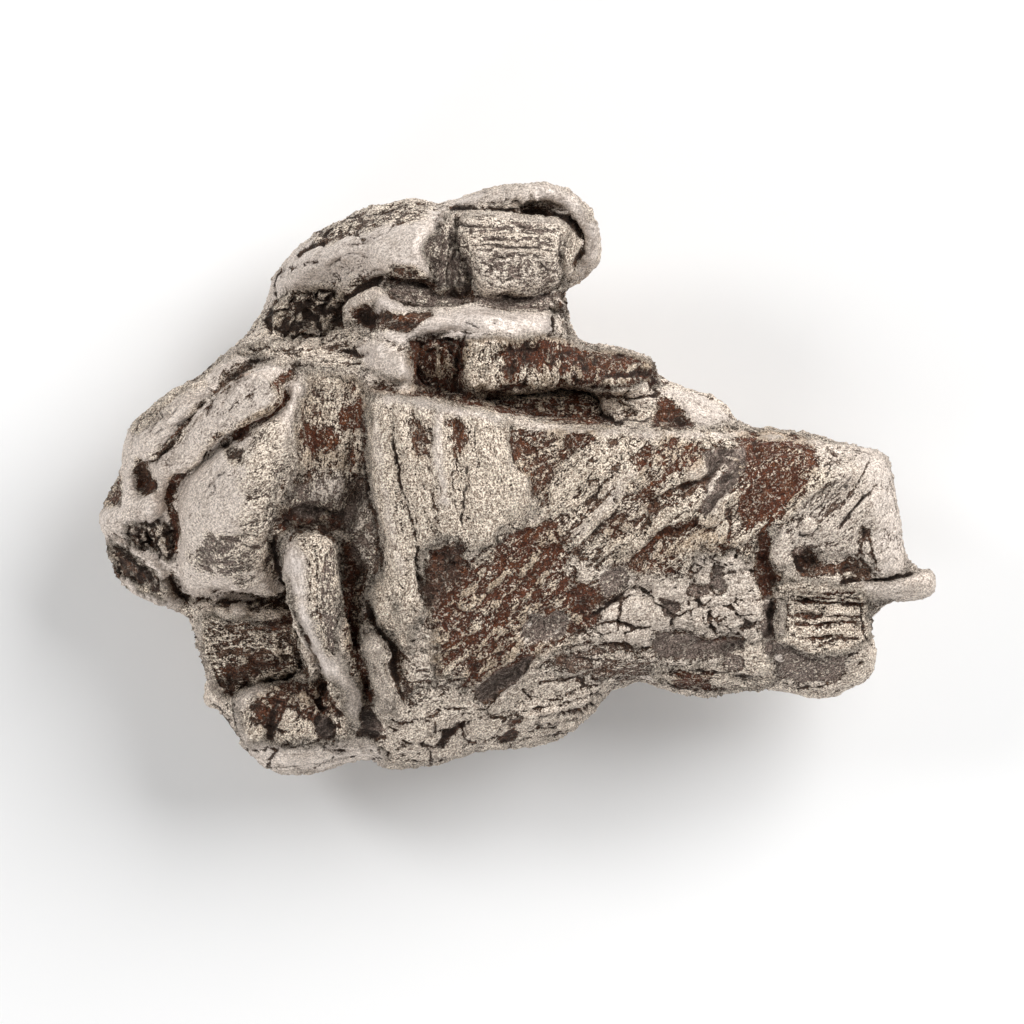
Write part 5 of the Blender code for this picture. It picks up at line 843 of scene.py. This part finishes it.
    skin.patch([(-2.8, 13.2), (-0.4, 13.4), (2.2, 13.0), (2.2, 11.5), (-1.6, 11.4)], edge=0.4, bare=0.32,
               grey=0.9, worn=0.4)
    rim = [(-4.5, 16.7), (-2.6, 16.95), (0.3, 17.2), (2.4, 17.1), (3.7, 16.2), (4.4, 15.2), (4.5, 14.0),
           (4.1, 13.0), (3.5, 12.4)]
    skin.line(rim, 1.5, 0.05, bare=0.86, grey=0.2, rust=0.15, worn=0.85, turn=5.0)
    skin.line([(-3.8, 17.0), (-2.6, 17.15), (-0.8, 17.4)], 0.15, -0.15, dark=0.7)
    skin.line([(-2.2, 16.65), (-1.2, 16.6), (-0.2, 16.9)], 0.21, -0.15, dark=0.6, bare=0.3)
    cleft = [(-4.0, 16.35), (-2.6, 16.25), (-1.0, 16.15), (1.0, 16.05), (2.7, 15.85), (3.45, 15.2),
             (3.75, 14.4), (3.8, 13.6), (3.3, 12.8)]
    # The cleft under the folded rim is painted nearly black: painted shade under the rim.
    skin.line(cleft, 0.5, -0.5, dark=0.85, bare=0.05, worn=0.0, rust=0.4, fade=0.05)
    skin.fill([(2.5, 14.8), (3.2, 15.1), (3.9, 14.2), (3.5, 13.0), (2.8, 12.6), (2.4, 13.6)],
              [(2.6, 14.6, 15.6), (3.8, 14.0, 14.3), (2.9, 12.9, 15.0)], bare=0.75, dark=0.05, worn=0.2)
    skin.line([(2.6, 14.8), (2.65, 14.0), (2.5, 13.3)], 0.2, -0.25, dark=0.85, bare=0.05)
    skin.line([(3.0, 15.0), (3.7, 14.3), (3.3, 13.2)], 0.25, 0.15, bare=0.95, dark=0.0)


# The lower left
# A deep box-like hollow with brown, level-grained walls and a thin pale rim. Knuckled lumps close it below,
# and the stone's lower edge there is rubbed to smooth silver.
def lower_left(skin):
    hollow = [(-19.0, -8.2), (-15.2, -8.5), (-13.5, -8.6), (-12.9, -11.0), (-13.4, -11.8), (-15.6, -12.3),
              (-16.9, -12.8), (-17.6, -13.0), (-18.3, -12.1), (-18.9, -10.5)]
    skin.fill(hollow, [(-18.0, -9.0, 10.0), (-14.0, -9.0, 10.6), (-16.0, -12.4, 8.9)])
    skin.patch(hollow, edge=0.25, ragged=0.15, bare=0.42, rust=0.4, grey=0.1, dark=0.08, worn=0.0, turn=2.0)
    skin.patch([(-17.8, -11.0), (-15.0, -10.4), (-13.1, -10.2), (-13.3, -11.8), (-15.6, -12.3),
                (-17.4, -12.8)], edge=0.6, bare=0.2, dark=0.38, rust=0.6)
    for shift in range(5):
        y = -8.8 - 0.45 * shift
        skin.line([(-18.6, y), (-16.8, y - 0.08), (-15.1, y + 0.04)], 0.2, 0.1, bare=0.5, dark=0.1)
    skin.line([(-19.5, -8.2), (-19.3, -9.6), (-18.8, -11.2), (-18.2, -12.5), (-17.5, -13.6)], 0.9, 0.12,
              bare=0.88, worn=0.5, dark=0.0)
    skin.line([(-18.7, -9.6), (-18.4, -11.0), (-17.8, -12.4)], 0.21, -0.2, dark=0.6, bare=0.3)
    skin.line([(-14.6, -8.9), (-14.5, -10.0), (-14.2, -10.9)], 0.4, 0.2, bare=0.85, dark=0.1)
    skin.patch([(-15.0, -8.2), (-13.6, -8.3), (-13.6, -9.0), (-14.9, -8.9)], edge=0.2, rust=0.8, bare=0.1,
               dark=0.4)
    lumps = [(-16.8, -13.0), (-15.2, -12.3), (-13.0, -12.0), (-11.3, -11.7), (-10.2, -13.2), (-10.0, -14.8),
             (-11.0, -15.9), (-14.6, -15.9), (-16.2, -15.8), (-16.8, -14.4)]
    skin.patch(lumps, edge=0.3, bare=0.6, rust=0.4, worn=0.1, dark=0.0, turn=60.0)
    skin.patch([(-15.8, -12.9), (-13.6, -12.2), (-11.4, -12.2), (-11.0, -13.6), (-12.4, -14.3),
                (-14.2, -14.1), (-15.2, -15.2)], -0.1, edge=0.3, ragged=0.5, bare=0.22, rust=0.7, dark=0.26)
    skin.cracks([(-15.8, -12.9), (-11.2, -12.2), (-10.8, -15.6), (-15.4, -15.6)], 0.9, -0.2, turn=60.0,
                long=1.6, width=0.22, dark=0.6, bare=0.1)
    skin.line([(-14.9, -12.4), (-16.2, -12.9), (-16.8, -13.9), (-16.5, -15.1), (-15.7, -16.1)], 0.95, 0.15,
              bare=0.92, worn=0.6, dark=0.0)
    skin.spot((-15.6, -13.6), (0.55, 0.45), -0.12, dark=0.5, bare=0.2)
    skin.spot((-15.4, -15.0), (0.55, 0.5), 0.25, bare=0.9, dark=0.0)
    skin.line([(-15.9, -14.7), (-15.4, -14.5), (-15.0, -14.8)], 0.17, -0.2, dark=0.9)
    skin.line([(-14.6, -13.7), (-14.8, -15.7)], 0.56, -0.3, dark=0.75, rust=0.7, bare=0.1)
    skin.patch([(-12.1, -14.1), (-11.2, -14.3), (-11.0, -15.4), (-12.0, -15.6)], -0.25, edge=0.2,
               ragged=0.1, dark=0.6, grey=0.7, bare=0.05)
    skin.line([(-11.6, -12.2), (-11.9, -13.0), (-11.7, -13.8)], 0.42, -0.35, dark=0.85, bare=0.05)
    skin.line([(-10.6, -13.6), (-10.8, -15.0)], 0.28, -0.3, dark=0.9, bare=0.05)
    for x, y, long in ((-13.6, -14.6, 0.45), (-13.0, -15.3, 0.5), (-12.6, -14.7, 0.3), (-14.0, -15.3, 0.4),
                       (-12.9, -12.7, 0.35), (-11.9, -12.7, 0.3), (-10.7, -13.2, 0.35),
                       (-13.0, -11.7, 0.35)):
        skin.spot((x, y), (long, 0.24), 0.14, turn=50, bare=0.85, dark=0.0)
    skin.line([(-12.3, -13.0), (-12.0, -13.8), (-11.5, -14.2)], 0.25, 0.12, bare=0.9, dark=0.0)
    edge = [(-16.4, -15.9), (-13.4, -15.9), (-10.6, -15.9), (-8.8, -15.9), (-8.2, -17.2), (-11.4, -17.6),
            (-14.6, -17.9), (-16.8, -16.4)]
    skin.patch(edge, edge=0.3, bare=1.0, rust=0.15, grey=0.1, worn=0.7, turn=4.0, dark=0.0)
    skin.cracks(edge, 1.4, -0.14, turn=8.0, long=2.0, width=0.14, dark=0.6, bare=0.2)
    skin.line([(-11.8, -16.2), (-10.8, -16.35), (-9.9, -16.2)], 0.24, -0.3, dark=0.85, bare=0.1, rust=0.5)
    skin.line([(-11.2, -17.0), (-10.2, -16.8), (-9.6, -16.5)], 0.17, -0.25, dark=0.85, bare=0.1)
    skin.line([(-14.2, -17.45), (-13.2, -17.3), (-11.8, -17.15)], 0.17, -0.18, dark=0.7, bare=0.2)
    skin.line([(-16.2, -16.6), (-15.2, -16.9), (-14.0, -17.3)], 0.15, -0.15, dark=0.5)
    skin.line([(-9.0, -16.2), (-8.4, -16.7), (-7.0, -16.85), (-5.2, -16.9)], 0.17, -0.2, dark=0.7, bare=0.2)
    skin.patch([(-19.1, -12.4), (-18.4, -12.5), (-17.8, -13.9), (-18.9, -13.9)], edge=0.25, bare=0.75,
               worn=0.4)
    skin.line([(-18.5, -13.4), (-18.0, -13.8), (-17.5, -14.6), (-16.9, -15.5)], 0.24, -0.25, dark=0.9,
              bare=0.1)
    skin.line([(-17.0, -13.2), (-17.0, -14.4), (-16.6, -15.6)], 0.17, -0.25, dark=0.9, bare=0.05)


# The back
# The side that the stone lies on. It has the same long folds and thumbprint hollows, less cleaned, so that
# more of the brown crust is left and only its high places shine.
BACK_FOLDS = 34
BACK_HOLLOWS = 14


def underside(skin):
    skin.back()
    picked = np.flatnonzero(skin.share > 0.01)
    skin.lay(picked, np.ones(len(picked)), 0.0, {"bare": 0.5, "rust": 0.5, "worn": 0.35, "turn": 25.0})
    rng = np.random.default_rng(7)
    for number in range(BACK_FOLDS):
        x, y = rng.uniform(-22.0, 20.0), rng.uniform(-15.0, 14.0)
        angle = math.radians(25.0 + 95.0 * (x > 4.0) + rng.uniform(-12.0, 12.0))
        long = rng.uniform(1.5, 4.0)
        run = (long * math.cos(angle), long * math.sin(angle))
        bow = rng.uniform(-0.5, 0.5)
        middle = (x + bow * math.sin(angle), y - bow * math.cos(angle))
        path = [(x - run[0], y - run[1]), middle, (x + run[0], y + run[1])]
        if number % 2:
            skin.line(path, rng.uniform(0.3, 0.7), -0.3, dark=0.8, bare=0.1)
        else:
            skin.line(path, rng.uniform(0.6, 1.3), 0.25, bare=0.85, worn=0.6)
    for _ in range(BACK_HOLLOWS):
        x, y = rng.uniform(-20.0, 20.0), rng.uniform(-13.0, 12.0)
        radii = (rng.uniform(0.8, 1.8), rng.uniform(0.6, 1.2))
        skin.spot((x, y), radii, -0.4, turn=rng.uniform(0, 180), rust=0.8, bare=0.3)
    skin.front()


def work_all(skin):
    underside(skin)
    for region in (wedge, wedge_foot, right_end, fan, hollow_and_tongue, left_lobes, head, ledges,
                   lower_left):
        region(skin)


# The grain of the skin
# Torn metal is rough along its crystal plates and flaky where crust still clings, and almost smooth where
# hands and brushes have rubbed it. The grain is worked out of the skin itself and runs each region's own way.
GRAIN_RISE = 0.20
CRUMB_RISE = 0.075
FLAKE_RISE = 0.10
FACET_RISE = 0.22


def along_grain(skin, stretch):
    turn = np.radians(skin.turn)
    c, s = np.cos(turn), np.sin(turn)
    x, y, z = skin.at.T
    return np.stack([(x * c + y * s) / stretch, y * c - x * s, z], axis=1)


fine = Skin(stone.data)
work_all(fine)
rough = 1.0 - 0.9 * fine.worn
flow = along_grain(fine, 3.0)
ridges = 0.5 - np.abs(swell(flow * 1.3, 11)) + 0.6 * (0.5 - np.abs(swell(flow * 2.9, 12)))
crumbs = swell(fine.at * 1.3, 13) + 0.7 * swell(fine.at * 2.9, 14) + 0.5 * swell(fine.at * 5.0, 15)
flake = smooth_step((swell(along_grain(fine, 1.6) * 2.4, 16) + 0.6 * swell(fine.at * 4.6, 17) + 0.1) / 0.25)
fine.out += GRAIN_RISE * ridges * (0.2 + 0.8 * rough) + CRUMB_RISE * crumbs * (0.15 + 0.85 * rough)
fine.out += FLAKE_RISE * (flake - 0.5) * rough * (1.0 - 0.6 * fine.dark)
for width, rise, seed in ((2.6, FACET_RISE, 51), (1.2, 0.5 * FACET_RISE, 61)):
    fine.out += rise * crumbled(along_grain(fine, 1.8) / width, seed)[2] * (0.4 + 0.6 * rough)
flat = smooth_step((fine.at[:, 2] - 0.15) / 0.5)
fine.out *= flat
worked = fine.at + fine.facing * fine.out[:, None]
worked[:, 2] += fine.lift
worked[:, 2] = np.maximum(worked[:, 2], 0.0)
stone.data.vertices.foreach_set("co", (worked * MM).ravel())
stone.data.update()

group = stone.vertex_groups.new(name="back")
behind = np.flatnonzero(fine.facing[:, 2] < -0.2)
group.add(behind.tolist(), 1.0, "REPLACE")
finish_with("TRIANGULATE")
share_behind = len(behind) / len(fine.at)
left_after = 1.0 - share_behind + share_behind * BACK_SHARE
finish_with("DECIMATE", ratio=left_after, vertex_group="back", vertex_group_factor=1.0)
finish_with("DECIMATE", ratio=min(1.0, SKIN_TRIANGLES / len(stone.data.polygons)))
stone.vertex_groups.clear()
stone.data.shade_smooth()

# Wear and painted shade
# High places are rubbed bright and low ones keep their dirt, and are darkened further as painted shade. How
# high a place stands above the skin round it is measured at two widths, and moves the finish that the regions
# above have laid.
NARROW, WIDE = 0.028, 0.22
done = Skin(stone.data)
work_all(done)
neighbours = np.bincount(done.ends.ravel(), minlength=len(done.at))


def evened(places, rounds):
    """The places, each moved half way to the mean of its neighbours, that many times over."""
    for _ in range(rounds):
        round_it = np.zeros_like(places)
        for axis in range(3):
            round_it[:, axis] = np.bincount(done.ends[:, 0], places[done.ends[:, 1], axis], len(places))
            round_it[:, axis] += np.bincount(done.ends[:, 1], places[done.ends[:, 0], axis], len(places))
        places = 0.5 * places + 0.5 * round_it / neighbours[:, None]
    return places


near = evened(done.at, 4)
far = evened(near, 40)
stands = np.tanh(((done.at - near) * done.facing).sum(axis=1) / NARROW)
heaves = np.tanh(((near - far) * done.facing).sum(axis=1) / WIDE)
done.bare += 0.20 * stands + 0.26 * heaves
# Low places are painted darker: dirt, and painted shade in the hollows.
done.dark += 0.30 * np.clip(-heaves - 0.25, 0.0, 1.0) + 0.18 * np.clip(-stands - 0.2, 0.0, 1.0)
done.dark -= 0.25 * np.clip(heaves, 0.0, 1.0)


def lay_attribute(name, channels):
    attribute = stone.data.color_attributes.new(name=name, type="FLOAT_COLOR", domain="POINT")
    values = np.clip(np.stack(channels, axis=1), -1.0, 1.0).astype(np.float32)
    attribute.data.foreach_set("color", values.ravel())


turn = np.radians(done.turn)
clean_share, rust_share, dark_share, grey_share = (np.clip(channel, 0.0, 1.0) for channel in
                                                   (done.bare, done.rust, done.dark, done.grey))
lay_attribute("finish", (clean_share, rust_share, dark_share, done.worn))
lay_attribute("flow", (np.cos(turn), np.sin(turn), grey_share, np.ones(len(turn))))

# The metal's colours
# Clean metal is a warm silver where it is rubbed smooth and cream where it is flaky. Between the flakes lie
# brown crust, orange rust and smooth mauve-grey crust, and the pits, cracks and hollows are nearly black,
# which is dirt there and painted shade as well.
CREAM_HIGH = (0.90, 0.785, 0.650, 1.0)
CREAM_LOW = (0.38, 0.262, 0.178, 1.0)
SILVER_HIGH = (0.82, 0.730, 0.670, 1.0)
SILVER_LOW = (0.56, 0.480, 0.425, 1.0)
CRUST_HIGH = (0.235, 0.136, 0.086, 1.0)
CRUST_LOW = (0.044, 0.021, 0.012, 1.0)
RUST = (0.140, 0.041, 0.018, 1.0)
ORANGE = (0.235, 0.082, 0.031, 1.0)
OCHRE = (0.36, 0.235, 0.125, 1.0)
MAUVE = (0.340, 0.262, 0.220, 1.0)
# Near-black for the dirt in cracks and pits, and for painted shade in clefts and hollows.
DIRT_AND_SHADE_BLACK = (0.024, 0.013, 0.008, 1.0)

metal = bpy.data.materials.new("worn_iron_skin")
metal.use_nodes = True
nodes = metal.node_tree.nodes
links = metal.node_tree.links
shader = nodes["Principled BSDF"]


def feed(socket, value):
    if isinstance(value, bpy.types.NodeSocket):
        links.new(value, socket)
    else:
        socket.default_value = value


def maths(operation, first, second=0.0, third=0.0):
    node = nodes.new("ShaderNodeMath")
    node.operation = operation
    for socket, value in zip(node.inputs, (first, second, third)):
        feed(socket, value)
    return node.outputs[0]


def between(value, low, high, to_low=0.0, to_high=1.0):
    node = nodes.new("ShaderNodeMapRange")
    node.interpolation_type = "SMOOTHSTEP"
    names = ("Value", "From Min", "From Max", "To Min", "To Max")
    for name, given in zip(names, (value, low, high, to_low, to_high)):
        feed(node.inputs[name], given)
    return node.outputs[0]


def blended(share, first, second):
    node = nodes.new("ShaderNodeMix")
    node.data_type = "RGBA"
    feed(node.inputs["Factor"], share)
    feed(node.inputs[6], first)
    feed(node.inputs[7], second)
    return node.outputs[2]


def cloud(vector, scale, detail=3.0, roughness=0.55, distortion=0.0):
    node = nodes.new("ShaderNodeTexNoise")
    feed(node.inputs["Vector"], vector)
    node.inputs["Scale"].default_value = scale
    node.inputs["Detail"].default_value = detail
    node.inputs["Roughness"].default_value = roughness
    node.inputs["Distortion"].default_value = distortion
    return node.outputs[0]


def joined(*values):
    node = nodes.new("ShaderNodeCombineXYZ")
    for socket, value in zip(node.inputs, values):
        feed(socket, value)
    return node.outputs[0]


def summed(first, first_share, second, second_share):
    return maths("ADD", maths("MULTIPLY", first, first_share), maths("MULTIPLY", second, second_share))


def moved(value, other, gain):
    """The value, raised where the other is above its middle and lowered where it is below."""
    return maths("ADD", value, maths("MULTIPLY", maths("SUBTRACT", other, 0.5), gain))


def less_where_worn(full, loss):
    return maths("SUBTRACT", full, maths("MULTIPLY", worn, loss))


def attribute(name):
    node = nodes.new("ShaderNodeAttribute")
    node.attribute_name = name
    split = nodes.new("ShaderNodeSeparateColor")
    links.new(node.outputs["Color"], split.inputs[0])
    return split.outputs[0], split.outputs[1], split.outputs[2], node.outputs["Alpha"]


GRAIN_DRAWN_OUT = 0.42
STREAKS_DRAWN_OUT = 0.45
bare, rust, dark, worn = attribute("finish")
cosine, sine, grey, _ = attribute("flow")
place = nodes.new("ShaderNodeTexCoord").outputs["Object"]
millimetres = nodes.new("ShaderNodeVectorMath")
millimetres.operation = "SCALE"
links.new(place, millimetres.inputs[0])
millimetres.inputs["Scale"].default_value = 1.0 / MM
parts = nodes.new("ShaderNodeSeparateXYZ")
links.new(millimetres.outputs[0], parts.inputs[0])
x, y, z = parts.outputs
run_of_grain = maths("MULTIPLY", summed(x, cosine, y, sine), GRAIN_DRAWN_OUT)
across_grain = maths("SUBTRACT", maths("MULTIPLY", y, cosine), maths("MULTIPLY", x, sine))
grained = joined(run_of_grain, across_grain, z)
streaked = joined(maths("MULTIPLY", run_of_grain, STREAKS_DRAWN_OUT), across_grain, z)
plain = millimetres.outputs[0]

# Where the clean metal shows
LEAST_BARE = 0.17
grain = cloud(grained, 7.0, 3.0, 0.72, 0.3)
pepper = cloud(plain, 10.0, 2.0, 0.6)
mottle = cloud(plain, 1.1, 4.0, 0.62, 0.3)
streak = cloud(streaked, 1.7, 4.0, 0.66, 0.3)
stain = cloud(plain, 0.45, 2.0, 0.5)
curd = maths("ABSOLUTE", maths("SUBTRACT", cloud(plain, 1.9, 2.0, 0.6, 0.6), 0.5))
height = maths("ADD", summed(grain, 0.50, pepper, 0.22), maths("MULTIPLY", streak, 0.28))
bare = maths("MAXIMUM", bare, LEAST_BARE)
worn = maths("MULTIPLY", worn, between(bare, 0.3, 0.6))
reach = moved(height, bare, 0.24)
flakes = between(reach, 0.484, 0.506)
rubbed = between(moved(bare, height, 2.6), 0.22, 0.72)
clean = blended(worn, flakes, rubbed)
outline = between(maths("ABSOLUTE", maths("SUBTRACT", reach, 0.470)), 0.0, 0.024, 1.0, 0.0)
outline = maths("MULTIPLY", outline, less_where_worn(0.8, 0.6))
curd = maths("MULTIPLY", between(curd, 0.0, 0.022, 0.75, 0.0), maths("SUBTRACT", 1.0, worn))

# What colour the metal and the crust have
tone = between(summed(grain, 0.45, pepper, 0.55), 0.40, 0.60)
cream = blended(tone, CREAM_LOW, CREAM_HIGH)
silver = blended(between(height, 0.42, 0.56), SILVER_LOW, SILVER_HIGH)
bright = blended(worn, cream, silver)
bright = blended(between(maths("MULTIPLY", rust, stain), 0.2, 0.45, 0.0, 0.5), bright, OCHRE)
crust = blended(tone, CRUST_LOW, CRUST_HIGH)
rusty = blended(between(mottle, 0.48, 0.72), RUST, ORANGE)
rusty = blended(between(tone, 0.0, 0.6, 0.65, 0.0), rusty, CRUST_LOW)
crust = blended(between(moved(rust, mottle, 1.3), 0.35, 0.85), crust, rusty)
greyed = blended(between(tone, 0.0, 0.7, 0.6, 0.0), MAUVE, CRUST_LOW)
crust = blended(between(moved(grey, stain, 0.6), 0.35, 0.8), crust, greyed)
colour = blended(clean, crust, bright)
colour = blended(outline, colour, CRUST_LOW)
colour = blended(curd, colour, CRUST_LOW)
spark = between(cloud(plain, 4.6, 3.0, 0.75), 0.575, 0.615, 0.0, 0.85)
spark = maths("MULTIPLY", spark, maths("SUBTRACT", 1.0, maths("MAXIMUM", worn, dark)))
colour = blended(spark, colour, CREAM_HIGH)
# Where the dark share is high the colour goes nearly black: dirt in cracks and pits, and painted shade in
# clefts and hollows.
dirt_and_shade = between(moved(height, dark, 0.30), 0.480, 0.56)
colour = blended(maths("MULTIPLY", dirt_and_shade, 0.88), colour, DIRT_AND_SHADE_BLACK)
fleck = maths("SUBTRACT", between(summed(grain, 0.4, pepper, 0.6), 0.38, 0.62, 0.45, 1.5), 1.0)
fleck = maths("ADD", maths("MULTIPLY", fleck, maths("MULTIPLY_ADD", worn, -0.85, 1.0)), 1.0)
flecked = nodes.new("ShaderNodeVectorMath")
flecked.operation = "SCALE"
feed(flecked.inputs[0], colour)
feed(flecked.inputs["Scale"], fleck)
feed(shader.inputs["Base Color"], flecked.outputs[0])
shader.inputs["Specular IOR Level"].default_value = 0.3
feed(shader.inputs["Roughness"], between(maths("MULTIPLY", clean, worn), 0.0, 1.0, 0.68, 0.44))
feed(shader.inputs["Metallic"], maths("MULTIPLY", clean, maths("MULTIPLY_ADD", worn, 0.35, 0.06)))

# How far the flakes and the grain stand out
FLAKE_HEIGHT = 0.00013
bump = nodes.new("ShaderNodeBump")
bump.inputs["Strength"].default_value = 1.0
bump.inputs["Distance"].default_value = FLAKE_HEIGHT
relief = summed(flakes, less_where_worn(0.6, 0.5), grain, less_where_worn(1.3, 1.0))
relief = maths("ADD", relief, maths("MULTIPLY", pepper, less_where_worn(0.5, 0.45)))
feed(bump.inputs["Height"], relief)
links.new(bump.outputs[0], shader.inputs["Normal"])
stone.data.materials.clear()
stone.data.materials.append(metal)
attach(stone, "root")
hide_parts("meteorite")

# The table
# A plain, matt white sheet far wider than the stone, so that its edges never show.
TABLE_WIDTH = 1.6
TABLE_DROP = 0.00005
bpy.ops.object.select_all(action="DESELECT")
bpy.ops.mesh.primitive_plane_add(size=TABLE_WIDTH, location=(0.0, 0.0, -TABLE_DROP))
table = bpy.context.object
table.name = "white_table"
white = bpy.data.materials.new("white_sheet")
white.use_nodes = True
sheet = white.node_tree.nodes["Principled BSDF"]
sheet.inputs["Base Color"].default_value = (0.95, 0.95, 0.95, 1.0)
sheet.inputs["Roughness"].default_value = 0.9
table.data.materials.append(white)


# The lights
# A wide lamp on the upper right lays the soft shadow to the lower left, and a small one on the upper left
# rakes across the relief and brightens the edges that face it. A weak one, low on the lower left, fills in.
def lamp(name, direction, distance, size, watts):
    """A round lamp that looks at the stone's foot, from an azimuth and elevation in degrees."""
    data = bpy.data.lights.new(name, "AREA")
    data.shape = "DISK"
    data.size = size
    data.energy = watts
    holder = bpy.data.objects.new(name, data)
    azimuth, elevation = (math.radians(angle) for angle in direction)
    holder.location = (distance * math.cos(elevation) * math.cos(azimuth),
                       distance * math.cos(elevation) * math.sin(azimuth), distance * math.sin(elevation))
    holder.rotation_euler = (math.pi / 2 - elevation, 0.0, azimuth + math.pi / 2)
    bpy.context.scene.collection.objects.link(holder)


lamp("main_lamp", (38.0, 38.0), 0.45, 0.36, 2.22)
lamp("raking_lamp", (152.0, 38.0), 0.40, 0.12, 0.42)
lamp("filling_lamp", (236.0, 24.0), 0.40, 0.20, 0.60)
SKY_STRENGTH = 0.235
world = bpy.data.worlds.new("studio")
bpy.context.scene.world = world
world.use_nodes = True
sky = world.node_tree.nodes["Background"]
sky.inputs["Color"].default_value = (1.0, 1.0, 1.0, 1.0)
sky.inputs["Strength"].default_value = SKY_STRENGTH

# The camera
# It looks straight down on the stone from far off, so that the picture is nearly flat, as the photo is.
FRAME_WIDTH = 0.06144
FRAME_CENTRE = (-0.00027, -0.00183)
STONE_MIDDLE = 0.012
LONG_LENS = 250.0
camera_data = bpy.data.cameras.new("camera")
camera_data.lens = LONG_LENS
camera_data.clip_start = 0.01
camera_data.clip_end = 10.0
camera = bpy.data.objects.new("camera", camera_data)
distance = FRAME_WIDTH * camera_data.lens / camera_data.sensor_width
camera.location = (FRAME_CENTRE[0], FRAME_CENTRE[1], STONE_MIDDLE + distance)
bpy.context.scene.collection.objects.link(camera)
bpy.context.scene.camera = camera
bpy.context.scene.view_settings.view_transform = "Standard"
